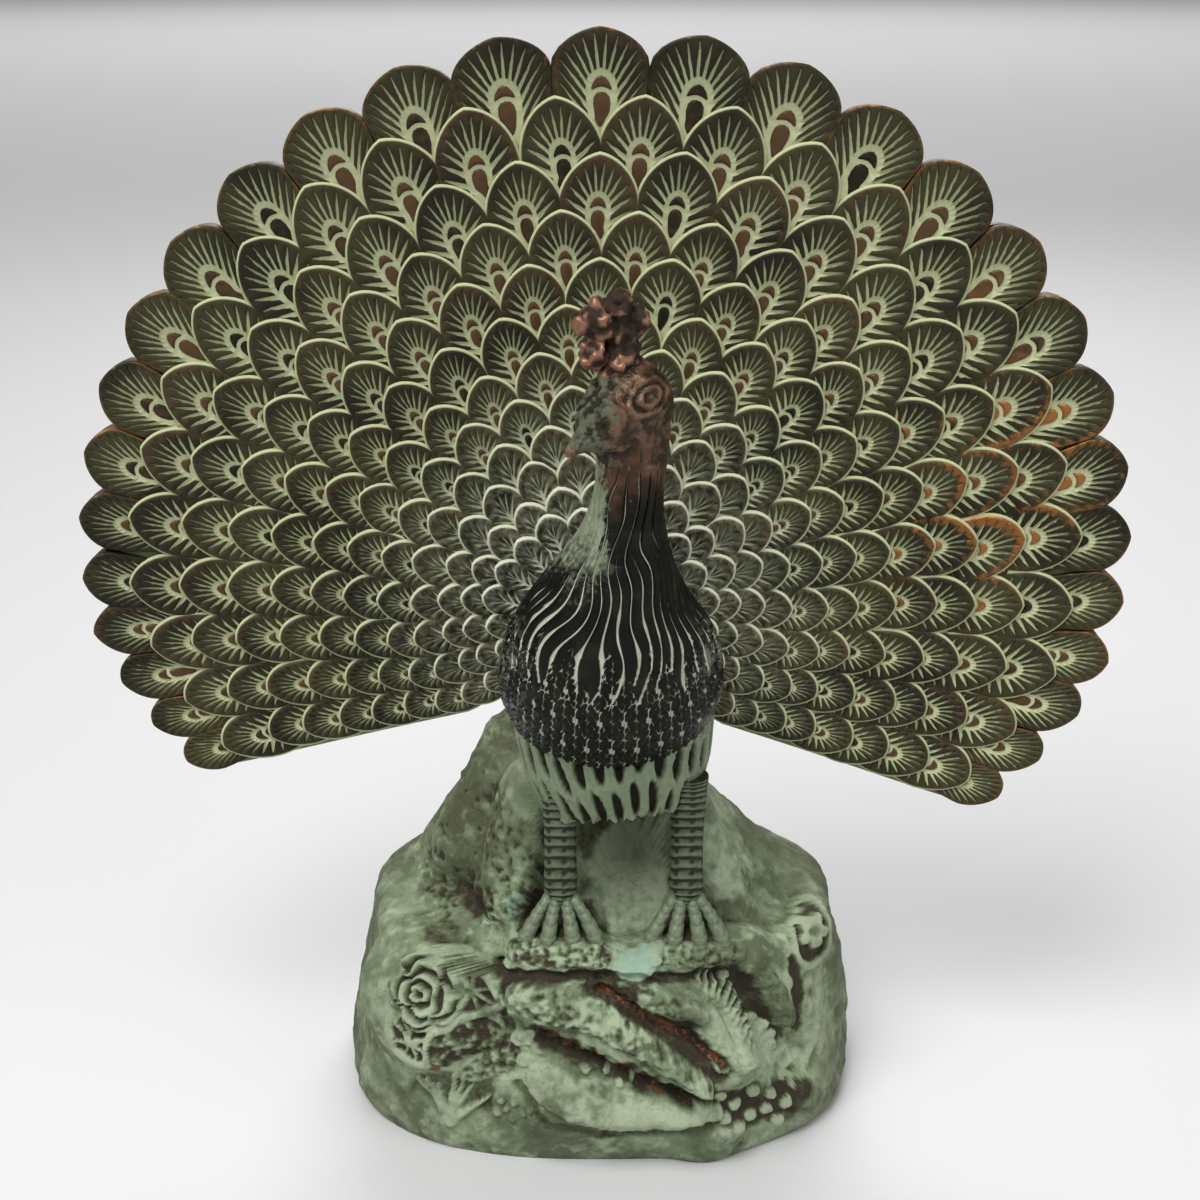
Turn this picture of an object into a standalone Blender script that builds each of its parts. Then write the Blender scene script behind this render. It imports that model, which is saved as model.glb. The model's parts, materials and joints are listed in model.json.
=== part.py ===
"""A cast bronze peacock that shows its fan, standing on a carved rock. One casting, so one solid.

Metres, +Z up. The bird faces -Y. The origin is the middle of the rock's flat underside.
Heights of the bird, the fan and the hump are counted from the top of the pedestal, and so move with it.
"""

import math

import bmesh
import bpy
import numpy as np
from mathutils import Matrix, Vector

# The fan. Its feather shafts meet at a root behind the bird, and its rim is a circle above that root.
FAN_ROOT = Vector((0.0, 0.0050, 0.0353))
FAN_RADIUS = 0.0648
FAN_RISE = 0.0113  # the circle's centre above the root
FAN_SKIRT_LOSS = 0.0135  # how much of its reach the fan has lost if it went straight down
FAN_ROLL = math.radians(3.0)  # the fan leans clockwise, seen from the front
FAN_DISH = 0.0105  # how far the top of the rim curls forward of the root
FAN_HEM_DROP = 0.0078  # the lower edge passes this far below the root
FAN_HEM_SLOPE = 0.25  # and falls this much for each metre out
FAN_HEM_STEPS = 20  # in which the end of a row is found
FAN_THICKNESS = 0.0020  # at the rim
FAN_CORE_THICKNESS = 0.0045  # at the root
FAN_BACK_SHARE = 0.985  # how much smaller the plain back is than the front
FAN_BACK_SPACING = 0.018  # between the lines along which the back bends

# The feather rows, from the rim inwards: share of the reach, and how many feathers.
FEATHER_ROWS = (
    (1.0, 29),
    (0.905, 26),
    (0.815, 25),
    (0.73, 24),
    (0.65, 23),
    (0.575, 22),
    (0.505, 21),
    (0.44, 20),
    (0.38, 19),
    (0.325, 18),
    (0.275, 17),
)
RIM_SHARE = FEATHER_ROWS[0][0]
RIM_CROWDING = 0.163  # rim feathers are wider at the top than at the sides by this share
FEATHER_SHIFT = math.radians(-3.0)  # the middle feather stands this far from the middle
FEATHER_OVERLAP = 1.06  # the diameter of a feather's round tip, as a share of its row's pitch
FEATHER_STEP = 0.0007  # how far a feather's tip stands over the row outside it
FEATHER_CROWN = 0.0004  # how far its middle swells
FEATHER_FOOT = 0.004  # the step's foot lies this share of the reach outside its top
FEATHER_EYE = 0.55  # where the swelling is, as a share of the row's height, down from the tip
FEATHER_EYE_LIFT = 0.7  # how high it starts, as a share of the step
FEATHER_SIDE = 0.5  # the same place between two feathers
FEATHER_SIDE_LIFT = 0.4
LOBE_SHARES = (0.0, 0.16, 0.5, 0.84)  # where a feather's edge has its points
RIM_LOBE_SHARES = (0.0, 0.07, 0.24, 0.5, 0.76, 0.93)  # and a rim feather's edge
FAN_CORE_SHARE = 0.09
FAN_CORE_TURNS = 9
FAN_CORE_SPREAD = math.radians(126.0)  # no row runs further round than this

# The bird. Balls, as the head and the rump, have this many sides and rings.
BALL_SIDES = 12
BALL_RINGS = 8
# From tail root to head: centre, half width, half depth.
BODY_STATIONS = (
    ((0.0000, 0.0100, 0.0338), 0.0085, 0.0090),
    ((0.0005, 0.0030, 0.0328), 0.0118, 0.0114),
    ((0.0010, -0.0050, 0.0334), 0.0134, 0.0122),
    ((0.0014, -0.0110, 0.0366), 0.0137, 0.0120),
    ((0.0014, -0.0142, 0.0428), 0.0122, 0.0100),
    ((0.0018, -0.0157, 0.0488), 0.0087, 0.0079),
    ((0.0026, -0.0165, 0.0543), 0.0056, 0.0060),
    ((0.0032, -0.0170, 0.0598), 0.0040, 0.0047),
    ((0.0036, -0.0176, 0.0653), 0.0039, 0.0044),
    ((0.0036, -0.0182, 0.0703), 0.0042, 0.0044),
)
BODY_SIDES = 20
BODY_STEPS = 2  # rings for each station
HEAD_CENTRE = Vector((0.0026, -0.0195, 0.0713))
HEAD_RADII = (0.0058, 0.0043, 0.0047)  # along the beak, across, up
BEAK_TIP = Vector((-0.0040, -0.0262, 0.0676))
BEAK_ROOT_RADIUS = 0.0027
BEAK_TIP_RADIUS = 0.0004
BEAK_START = 0.3  # where it leaves the head, as a share of the way to its tip
BEAK_SIDES = 9
CREST_BASE = Vector((0.0026, -0.0185, 0.0738))
CREST_TOP = Vector((0.0016, -0.0185, 0.0828))
CREST_BASE_RADIUS = 0.0024
CREST_RADIUS = 0.0019
CREST_SIDES = 8
KNOB_SUBDIVISIONS = 2
CREST_KNOBS = (  # centre and radius
    ((-0.0007, -0.0196, 0.0776), 0.0018),
    ((-0.0005, -0.0195, 0.0810), 0.0020),
    ((0.0018, -0.0188, 0.0827), 0.0019),
    ((0.0040, -0.0182, 0.0812), 0.0014),
)

# The feathered thighs, and the legs and feet below them.
SKIRT_STATIONS = (
    ((0.0014, -0.0070, 0.0338), 0.0120, 0.0100),
    ((0.0018, -0.0075, 0.0278), 0.0122, 0.0105),
    ((0.0022, -0.0085, 0.0222), 0.0112, 0.0092),
    ((0.0028, -0.0095, 0.0170), 0.0094, 0.0066),
)
SKIRT_SIDES = 16
LEG_X = (-0.0050, 0.0110)
LEG_Y = -0.0120
LEG_TOP_Z = 0.0228
ANKLE_Z = 0.0063
LEG_RADIUS = 0.0021
THIGH_RADIUS = 0.0024
LEG_SIDES = 9
TOE_SPREAD = (-0.0050, -0.0018, 0.0018, 0.0050)
TOE_REACH = 0.0054  # forward from the ankle
TOE_SWING = 0.0010  # how much less the outer toes reach forward
TOE_RADIUS = 0.0012
TOE_ROOT_RADIUS = 0.0013
TOE_TIP_RADIUS = 0.0010
TOE_SIDES = 7
TOE_START = 0.15  # how far apart the toes leave the ankle, as a share of their spread

# The rock: a low pedestal and, behind the bird, a hump that carries body and fan.
PEDESTAL_HALF_WIDTH = 0.0342
PEDESTAL_HALF_DEPTH = 0.0240
PEDESTAL_HEIGHT = 0.0262
PEDESTAL_LEAN = 0.13  # how much the sides draw in for each metre up
PEDESTAL_FOOT = 0.0030  # the height of the rounded lower edge
PEDESTAL_FOOT_LOSS = 0.04  # the share by which the foot is smaller at the ground
PEDESTAL_SQUARENESS = 2.5  # 2 is an ellipse in plan
HUMP_STATIONS = (  # height, middle across, middle in depth, half width, half depth
    (-0.0212, 0.0000, 0.0060, 0.0320, 0.0170),
    (-0.0002, 0.0006, 0.0060, 0.0282, 0.0150),
    (0.0068, -0.0014, 0.0058, 0.0218, 0.0130),
    (0.0138, -0.0024, 0.0058, 0.0160, 0.0115),
    (0.0218, -0.0012, 0.0062, 0.0115, 0.0095),
    (0.0318, 0.0000, 0.0070, 0.0095, 0.0075),
)
HUMP_TOP = HUMP_STATIONS[-1][0]
ALCOVE_CENTRE = np.array((0.0030, -0.0140, 0.0118))  # the hollow between the legs
ALCOVE_RADII = np.array((0.0055, 0.0120, 0.0110))
ROCK_LUMPS = (  # both ends of each rounded ridge or boulder, and its radius
    ((-0.0090, -0.0185, 0.0210), (0.0110, -0.0230, 0.0105), 0.0040),
    ((0.0050, -0.0190, 0.0210), (0.0165, -0.0205, 0.0130), 0.0036),
    ((-0.0060, -0.0215, 0.0080), (0.0140, -0.0205, 0.0050), 0.0044),
    ((-0.0248, -0.0110, 0.0175), (-0.0205, -0.0155, 0.0150), 0.0068),
    ((0.0225, -0.0130, 0.0050), (0.0130, -0.0190, 0.0030), 0.0052),
    ((0.0262, -0.0040, 0.0215), (0.0280, -0.0030, 0.0120), 0.0052),
    ((-0.0110, -0.0145, 0.0250), (0.0010, -0.0150, 0.0250), 0.0034),
    ((0.0050, -0.0150, 0.0250), (0.0180, -0.0135, 0.0250), 0.0034),
    ((-0.0172, 0.0000, 0.0330), (-0.0112, 0.0030, 0.0460), 0.0048),
    ((-0.0120, -0.0075, 0.0300), (-0.0085, -0.0060, 0.0440), 0.0044),
    ((0.0158, -0.0050, 0.0280), (0.0098, -0.0035, 0.0410), 0.0044),
)
ROCK_HOLLOWS = (  # the same for each hollow
    ((0.0240, -0.0205, 0.0180), (0.0265, -0.0175, 0.0110), 0.0044),
    ((-0.0130, -0.0235, 0.0190), (-0.0125, -0.0262, 0.0060), 0.0030),
    ((-0.0040, -0.0260, 0.0170), (0.0150, -0.0265, 0.0080), 0.0016),
    ((-0.0195, -0.0130, 0.0300), (-0.0150, -0.0150, 0.0260), 0.0034),
    ((0.0130, -0.0240, 0.0230), (0.0210, -0.0190, 0.0230), 0.0022),
    ((0.0225, -0.0080, 0.0390), (0.0250, -0.0050, 0.0300), 0.0040),
)
ROCK_BLEND = 0.0025  # how softly the lumps run into each other
ROCK_HEART = np.array((0.0, 0.0020, 0.0180))  # every point of the surface is seen from here
ROCK_BELOW = 0.0040  # the rock is modelled this far below the ground, then cut off flat
ROCK_SUBDIVISIONS = 4
ROCK_FOCUS = np.array((0.0, -0.4, 0.1))  # draws the mesh together on the carved front
ROSE_TOWARDS = np.array((-0.0215, -0.0160, 0.0200))
ROSE_RADIUS = 0.0050
BLOSSOM_TOWARDS = np.array((0.0280, -0.0070, 0.0235))
BLOSSOM_RADIUS = 0.0036
FLOWER_PETALS = 5
PETAL_SIDES = 4  # points on each ring for each petal
FLOWER_NOTCH = 0.2  # how deep the petals are parted, as a share of the radius
FLOWER_RINGS = ((1.0, -0.35), (1.02, 0.12), (0.72, 0.28), (0.5, 0.12), (0.32, 0.34))  # out and up
ROCK_STEPS = 80  # in which a point is drawn onto the rock
ROCK_STEP_SHARE = 0.7  # how much of its distance it goes in one step

RUMP_CENTRE = Vector((0.0, 0.0110, 0.0328))
RUMP_RADII = (0.0110, 0.0060, 0.0120)
SHARP_ANGLE = math.radians(35)  # edges that turn more than this stay crisp


def clear_scene():
    for obj in list(bpy.data.objects):
        bpy.data.objects.remove(obj, do_unlink=True)


def add_object(name, bm):
    """Makes the bmesh an object whose faces point outwards."""
    bmesh.ops.triangulate(bm, faces=[face for face in bm.faces if len(face.verts) > 4])
    bmesh.ops.recalc_face_normals(bm, faces=bm.faces)
    mesh = bpy.data.meshes.new(name)
    bm.to_mesh(mesh)
    bm.free()
    mesh.shade_smooth()
    mesh.set_sharp_from_angle(angle=SHARP_ANGLE)
    obj = bpy.data.objects.new(name, mesh)
    bpy.context.scene.collection.objects.link(obj)
    return obj


def add_loop(bm, points):
    """A closed loop of edges through the points."""
    verts = [bm.verts.new(point) for point in points]
    return [bm.edges.new((verts[i - 1], verts[i])) for i in range(len(verts))]


def loft(bm, rings):
    """A closed skin over rings with as many points each, capped at both ends."""
    loops = [add_loop(bm, ring) for ring in rings]
    for near, far in zip(loops, loops[1:]):
        bmesh.ops.bridge_loops(bm, edges=near + far)
    bmesh.ops.contextual_create(bm, geom=loops[0])
    bmesh.ops.contextual_create(bm, geom=loops[-1])


def smooth_between(stations, position):
    """The stations' numbers read on a smooth curve, at a position counted in stations."""
    last = len(stations) - 1
    i = min(int(position), last - 1)
    t = position - i
    before, start, end, after = (np.array(stations[min(max(i + k, 0), last)]) for k in (-1, 0, 1, 2))
    bend = 2 * before - 5 * start + 4 * end - after + t * (3 * (start - end) + after - before)
    return start + 0.5 * t * (end - before + t * bend)


def swept_rings(stations, sides, steps):
    """Elliptical rings square to a smooth line through stations of centre, half width and half depth."""
    flat = [(*centre, across, deep) for centre, across, deep in stations]
    count = (len(flat) - 1) * steps + 1
    samples = [smooth_between(flat, i / steps) for i in range(count)]
    turns = [2 * math.pi * k / sides for k in range(sides)]
    rings = []
    for i, sample in enumerate(samples):
        before = samples[max(i - 1, 0)]
        after = samples[min(i + 1, count - 1)]
        along = Vector(after[:3] - before[:3]).normalized()
        across = Vector((1, 0, 0))
        across = (across - along * across.dot(along)).normalized() * sample[3]
        deep = along.cross(across).normalized() * sample[4]
        rings.append([Vector(sample[:3]) + across * math.cos(a) + deep * math.sin(a) for a in turns])
    return rings


def fan_rim(turn):
    """From the fan's root to its rim, this far round from straight up."""
    side = FAN_RISE * math.sin(turn)
    circle = FAN_RISE * math.cos(turn) + math.sqrt(FAN_RADIUS**2 - side**2)
    return circle - FAN_SKIRT_LOSS * max(0.0, -math.cos(turn))


def fan_hem(share):
    """How far round from straight up a row of feathers ends, where it meets the lower edge.

    The rim's reach there depends on the turn, so the turn is found step by step.
    """
    level = math.pi / 2
    turn = level
    for _ in range(FAN_HEM_STEPS):
        drop = FAN_HEM_DROP / (share * fan_rim(turn) * math.hypot(1, FAN_HEM_SLOPE))
        turn = level + math.asin(min(drop, 1.0)) + math.atan(FAN_HEM_SLOPE)
    return min(turn, FAN_CORE_SPREAD)


def fan_point(reach, turn, lift):
    """A point of the fan's dished front, or lifted off it towards the viewer."""
    forward = FAN_DISH * (reach / (FAN_RADIUS + FAN_RISE)) ** 2 + lift
    flat = Vector((reach * math.sin(turn), -forward, reach * math.cos(turn)))
    return FAN_ROOT + Matrix.Rotation(FAN_ROLL, 3, "Y") @ flat


def feather_turn(share, feathers, place):
    """The turn at a place in a row, counted in feathers from its left end."""
    w = 2 * place / feathers - 1
    crowding = RIM_CROWDING if share == RIM_SHARE else 0.0
    even = w + crowding * math.sin(math.pi * w) / math.pi
    return fan_hem(share) * even + FEATHER_SHIFT * (1 - w * w)


def notch_depth(share, feathers, place):
    """How far a feather's round tip has fallen back at a place in its row, counted in feathers.

    A row inside the rim runs on into the lower edge, so its two ends have no notch.
    """
    if share < RIM_SHARE and place in (0, feathers):
        return 0.0
    feather = min(int(place), feathers - 1)
    sweep = feather_turn(share, feathers, feather + 1) - feather_turn(share, feathers, feather)
    half = share * fan_rim(feather_turn(share, feathers, feather + 0.5)) * sweep / 2
    radius = half * FEATHER_OVERLAP
    return radius - math.sqrt(radius**2 - (half * (2 * (place - feather) - 1)) ** 2)


def row_edge(share, feathers, foot, lift):
    """The lobed outer edge of a feather row, from its left end to its right, as reach, turn and lift."""
    lobes = RIM_LOBE_SHARES if share == RIM_SHARE else LOBE_SHARES
    places = [feather + t for feather in range(feathers) for t in lobes] + [feathers]
    edge = []
    for place in places:
        turn = feather_turn(share, feathers, place)
        reach = (share + foot) * fan_rim(turn) - notch_depth(share, feathers, place)
        edge.append((reach, turn, lift))
    return edge


def row_middle(share, inner_share, feathers):
    """The middle line of a feather row: swollen on each feather, low between two."""
    points = []
    for half in range(2 * feathers + 1):
        turn = feather_turn(share, feathers, half / 2)
        rim = fan_rim(turn)
        if half % 2:
            reach = share * rim
            drop = FEATHER_EYE
            lift = FEATHER_STEP * FEATHER_EYE_LIFT + FEATHER_CROWN
        else:
            reach = share * rim - notch_depth(share, feathers, half / 2)
            drop = FEATHER_SIDE
            lift = FEATHER_STEP * FEATHER_SIDE_LIFT
        points.append((reach - drop * (reach - inner_share * rim), turn, lift))
    return points


def build_fan_front(bm):
    """Fills the stepped front, drawn flat for now, and gives its vertices' places and lifts in order.

    Each row rises to its lobed edge, then drops to the row outside it.
    """
    core_turns = np.linspace(-FAN_CORE_SPREAD, FAN_CORE_SPREAD, FAN_CORE_TURNS)
    rows = [[(FAN_CORE_SHARE * fan_rim(turn), turn, 0.0) for turn in core_turns]]
    inner_share = FAN_CORE_SHARE
    for share, feathers in reversed(FEATHER_ROWS):
        rows.append(row_middle(share, inner_share, feathers))
        rows.append(row_edge(share, feathers, 0.0, FEATHER_STEP))
        if share < RIM_SHARE:
            rows.append(row_edge(share, feathers, FEATHER_FOOT, 0.0))
        inner_share = share
    made = []
    for row in rows:
        flat = [(reach * math.sin(turn), 0, reach * math.cos(turn)) for reach, turn, _ in row]
        made.append([bm.verts.new(point) for point in flat])
    strips = [made[0]] + [inner + outer[::-1] for inner, outer in zip(made, made[1:])]
    for strip in strips:
        bm.faces.new(strip).normal_update()
    bmesh.ops.triangulate(bm, faces=bm.faces, ngon_method="BEAUTY")
    return [point for row in rows for point in row]


def build_fan_back(bm):
    """Closes the flat fan behind, and cuts its back into strips that can follow the dish."""
    edges = [edge for edge in bm.edges if edge.is_boundary]
    made = bmesh.ops.extrude_edge_only(bm, edges=edges)["geom"]
    behind = [item for item in made if isinstance(item, bmesh.types.BMVert)]
    bmesh.ops.translate(bm, verts=behind, vec=(0, FAN_THICKNESS, 0))
    outline = [item for item in made if isinstance(item, bmesh.types.BMEdge) and item.is_boundary]
    face = bmesh.ops.contextual_create(bm, geom=outline)["faces"][0]
    face.normal_update()
    bmesh.ops.triangulate(bm, faces=[face], ngon_method="BEAUTY")
    cuts = int(FAN_RADIUS / FAN_BACK_SPACING) + 1
    for across in (Vector((1, 0, 0)), Vector((0, 0, 1))):
        for k in range(-cuts, cuts + 1):
            flat = [f for f in bm.faces if all(v.co.y > FAN_THICKNESS / 2 for v in f.verts)]
            touched = {v for f in flat for v in f.verts} | {e for f in flat for e in f.edges} | set(flat)
            place = across * (k * FAN_BACK_SPACING)
            bmesh.ops.bisect_plane(bm, geom=list(touched), plane_co=place, plane_no=across)


def fan_thickness(reach):
    """The fan is thickest at its root."""
    inward = max(0.0, 1 - reach / FAN_RADIUS)
    return FAN_THICKNESS + (FAN_CORE_THICKNESS - FAN_THICKNESS) * inward**2


def build_fan():
    """The fan as one closed solid: drawn flat, then dished."""
    bm = bmesh.new()
    front = build_fan_front(bm)
    build_fan_back(bm)
    for vert, place in zip(bm.verts, front):
        vert.co = fan_point(*place)
    for vert in bm.verts[len(front) :]:
        reach = math.hypot(vert.co.x, vert.co.z) * FAN_BACK_SHARE
        vert.co = fan_point(reach, math.atan2(vert.co.x, vert.co.z), -fan_thickness(reach))
    return add_object("fan", bm)


def stretched_ball(bm, centre, axes, radii):
    """A ball stretched along three axes."""
    matrix = Matrix.Translation(centre) @ axes.to_4x4() @ Matrix.Diagonal((*radii, 1))
    bmesh.ops.create_uvsphere(bm, u_segments=BALL_SIDES, v_segments=BALL_RINGS, radius=1, matrix=matrix)


def tapered_bar(bm, start, end, start_radius, end_radius, sides):
    """A tapered round bar from one point to another."""
    along = end - start
    turn = along.to_track_quat("Z", "Y").to_matrix().to_4x4()
    bmesh.ops.create_cone(
        bm,
        cap_ends=True,
        segments=sides,
        radius1=start_radius,
        radius2=end_radius,
        depth=along.length,
        matrix=Matrix.Translation((start + end) / 2) @ turn,
    )


def build_body():
    bm = bmesh.new()
    loft(bm, swept_rings(BODY_STATIONS, BODY_SIDES, BODY_STEPS))
    return add_object("body", bm)


def build_rump():
    bm = bmesh.new()
    stretched_ball(bm, RUMP_CENTRE, Matrix.Identity(3), RUMP_RADII)
    return add_object("rump", bm)


def build_head():
    """The head, long towards the beak."""
    bm = bmesh.new()
    forward = (BEAK_TIP - HEAD_CENTRE).normalized()
    across = forward.cross(Vector((0, 0, 1))).normalized()
    axes = Matrix((forward, across, across.cross(forward))).transposed()
    stretched_ball(bm, HEAD_CENTRE, axes, HEAD_RADII)
    return add_object("head", bm)


def build_beak():
    bm = bmesh.new()
    start = HEAD_CENTRE.lerp(BEAK_TIP, BEAK_START)
    tapered_bar(bm, start, BEAK_TIP, BEAK_ROOT_RADIUS, BEAK_TIP_RADIUS, BEAK_SIDES)
    return add_object("beak", bm)


def build_crest():
    """The crest's stalk and its knobs."""
    bm = bmesh.new()
    tapered_bar(bm, CREST_BASE, CREST_TOP, CREST_BASE_RADIUS, CREST_RADIUS, CREST_SIDES)
    made = [add_object("crest_stalk", bm)]
    for centre, radius in CREST_KNOBS:
        bm = bmesh.new()
        place = Matrix.Translation(centre)
        bmesh.ops.create_icosphere(bm, subdivisions=KNOB_SUBDIVISIONS, radius=radius, matrix=place)
        made.append(add_object("crest_knob", bm))
    return made


def build_skirt():
    bm = bmesh.new()
    loft(bm, swept_rings(SKIRT_STATIONS, SKIRT_SIDES, BODY_STEPS))
    return add_object("skirt", bm)


def build_leg(x):
    """A leg and the toes that fan out from its ankle."""
    ankle = Vector((x, LEG_Y, ANKLE_Z))
    below = ankle - Vector((0, 0, TOE_RADIUS))
    bm = bmesh.new()
    tapered_bar(bm, below, Vector((x, LEG_Y, LEG_TOP_Z)), LEG_RADIUS, THIGH_RADIUS, LEG_SIDES)
    made = [add_object("leg", bm)]
    for spread in TOE_SPREAD:
        swing = TOE_SWING * abs(spread) / TOE_SPREAD[-1]
        tip = Vector((x + spread, LEG_Y - TOE_REACH + swing, TOE_RADIUS))
        bm = bmesh.new()
        start = ankle + Vector((spread * TOE_START, 0, 0))
        tapered_bar(bm, start, tip, TOE_ROOT_RADIUS, TOE_TIP_RADIUS, TOE_SIDES)
        made.append(add_object("toe", bm))
    return made


def soft_min(a, b, blend):
    """The smaller of two distances, with a rounded change from one to the other."""
    overlap = np.maximum(blend - np.abs(a - b), 0) / blend
    return np.minimum(a, b) - overlap**2 * blend / 4


def pedestal_distance(p):
    """How far points lie outside the pedestal."""
    height = np.maximum(p[:, 2], 0)
    drawn = 1 - PEDESTAL_LEAN * height / PEDESTAL_HALF_DEPTH
    drawn -= PEDESTAL_FOOT_LOSS * np.maximum(1 - height / PEDESTAL_FOOT, 0) ** 2
    across = np.abs(p[:, 0]) / (PEDESTAL_HALF_WIDTH * drawn)
    deep = np.abs(p[:, 1]) / (PEDESTAL_HALF_DEPTH * drawn)
    round_about = (across**PEDESTAL_SQUARENESS + deep**PEDESTAL_SQUARENESS) ** (1 / PEDESTAL_SQUARENESS)
    side = (round_about - 1) * PEDESTAL_HALF_DEPTH
    return -soft_min(-side, PEDESTAL_HEIGHT - p[:, 2], ROCK_BLEND)


def hump_distance(p):
    """How far points lie outside the hump."""
    heights, *sizes = np.array(HUMP_STATIONS).T
    height = p[:, 2] - PEDESTAL_HEIGHT
    middle_x, middle_y, half_x, half_y = (np.interp(height, heights, size) for size in sizes)
    side = np.hypot((p[:, 0] - middle_x) / half_x, (p[:, 1] - middle_y) / half_y) - 1
    return np.maximum(side * half_y, height - HUMP_TOP)


def lump_distance(p, start, end, radius):
    """How far points lie outside a round bar."""
    start = np.array(start)
    along = np.array(end) - start
    t = np.clip((p - start) @ along / (along @ along), 0, 1)
    return np.linalg.norm(p - start - t[:, None] * along, axis=1) - radius


def rock_distance(p):
    """How far points lie outside the rock, roughly."""
    distance = soft_min(pedestal_distance(p), hump_distance(p), 2 * ROCK_BLEND)
    for start, end, radius in ROCK_LUMPS:
        distance = soft_min(distance, lump_distance(p, start, end, radius), ROCK_BLEND)
    for start, end, radius in ROCK_HOLLOWS:
        distance = -soft_min(-distance, lump_distance(p, start, end, radius), ROCK_BLEND)
    centre = ALCOVE_CENTRE + np.array((0, 0, PEDESTAL_HEIGHT))
    alcove = (np.linalg.norm((p - centre) / ALCOVE_RADII, axis=1) - 1) * ALCOVE_RADII.min()
    distance = -soft_min(-distance, alcove, ROCK_BLEND)
    return np.maximum(distance, -p[:, 2] - ROCK_BELOW)


def rock_surface(directions):
    """Where the rock's surface is seen from its heart, in each direction."""
    directions = directions / np.linalg.norm(directions, axis=1)[:, None]
    reach = np.full(len(directions), 2 * PEDESTAL_HALF_WIDTH)
    for _ in range(ROCK_STEPS):
        reach -= ROCK_STEP_SHARE * rock_distance(ROCK_HEART + directions * reach[:, None])
    return ROCK_HEART + directions * reach[:, None]


def build_rock():
    """The rock: a ball whose points are drawn in until they lie on it, then cut off flat below."""
    bm = bmesh.new()
    bmesh.ops.create_icosphere(bm, subdivisions=ROCK_SUBDIVISIONS, radius=1)
    directions = np.array([vert.co.normalized() for vert in bm.verts]) + ROCK_FOCUS
    for vert, point in zip(bm.verts, rock_surface(directions)):
        vert.co = Vector(point)
    everything = bm.verts[:] + bm.edges[:] + bm.faces[:]
    ground = {"plane_co": (0, 0, 0), "plane_no": (0, 0, -1)}
    cut = bmesh.ops.bisect_plane(bm, geom=everything, clear_outer=True, **ground)
    rim = [item for item in cut["geom_cut"] if isinstance(item, bmesh.types.BMEdge)]
    bmesh.ops.contextual_create(bm, geom=rim)
    return add_object("rock", bm)


def build_flower(name, towards, radius):
    """A carved flower on the rock's surface, facing away from its heart."""
    bm = bmesh.new()
    centre = Vector(rock_surface((towards - ROCK_HEART)[None])[0])
    outward = centre - Vector(ROCK_HEART)
    matrix = Matrix.Translation(centre) @ outward.to_track_quat("Z", "Y").to_matrix().to_4x4()
    sides = PETAL_SIDES * FLOWER_PETALS
    rings = []
    for out, up in FLOWER_RINGS:
        ring = []
        for k in range(sides):
            turn = 2 * math.pi * k / sides
            lobe = out * (1 - FLOWER_NOTCH * out * (0.5 + 0.5 * math.cos(FLOWER_PETALS * turn)))
            ring.append(matrix @ (Vector((math.cos(turn) * lobe, math.sin(turn) * lobe, up)) * radius))
        rings.append(ring)
    loft(bm, rings)
    return add_object(name, bm)


def bronze():
    """Bronze under a green patina."""
    material = bpy.data.materials.new("bronze")
    material.use_nodes = True
    shader = material.node_tree.nodes["Principled BSDF"]
    shader.inputs["Base Color"].default_value = (0.16, 0.19, 0.11, 1)
    shader.inputs["Metallic"].default_value = 0.3
    shader.inputs["Roughness"].default_value = 0.6
    return material


def main():
    clear_scene()
    figurine = build_rock()
    figurine.name = "peacock_figurine"
    figurine.data.materials.append(bronze())
    perched = [build_rump(), build_body(), build_fan(), build_skirt(), build_head(), build_beak()]
    perched += build_crest()
    for x in LEG_X:
        perched += build_leg(x)
    for piece in perched:
        piece.location.z = PEDESTAL_HEIGHT
    flowers = [
        build_flower("rose", ROSE_TOWARDS, ROSE_RADIUS),
        build_flower("blossom", BLOSSOM_TOWARDS, BLOSSOM_RADIUS),
    ]
    for piece in perched + flowers:
        piece.hide_render = True
        piece.display_type = "WIRE"
        union = figurine.modifiers.new(piece.name, "BOOLEAN")
        union.operation = "UNION"
        union.solver = "MANIFOLD"
        union.object = piece


main()
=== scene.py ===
"""The relief, finish and lighting of a cast bronze peacock that shows its fan on a carved rock."""

import json
import logging
import math
from collections.abc import Callable, Sequence
from dataclasses import dataclass, field
from enum import Enum

import bmesh
import bpy
import numpy as np
from mathutils import Matrix, Vector, noise

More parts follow.
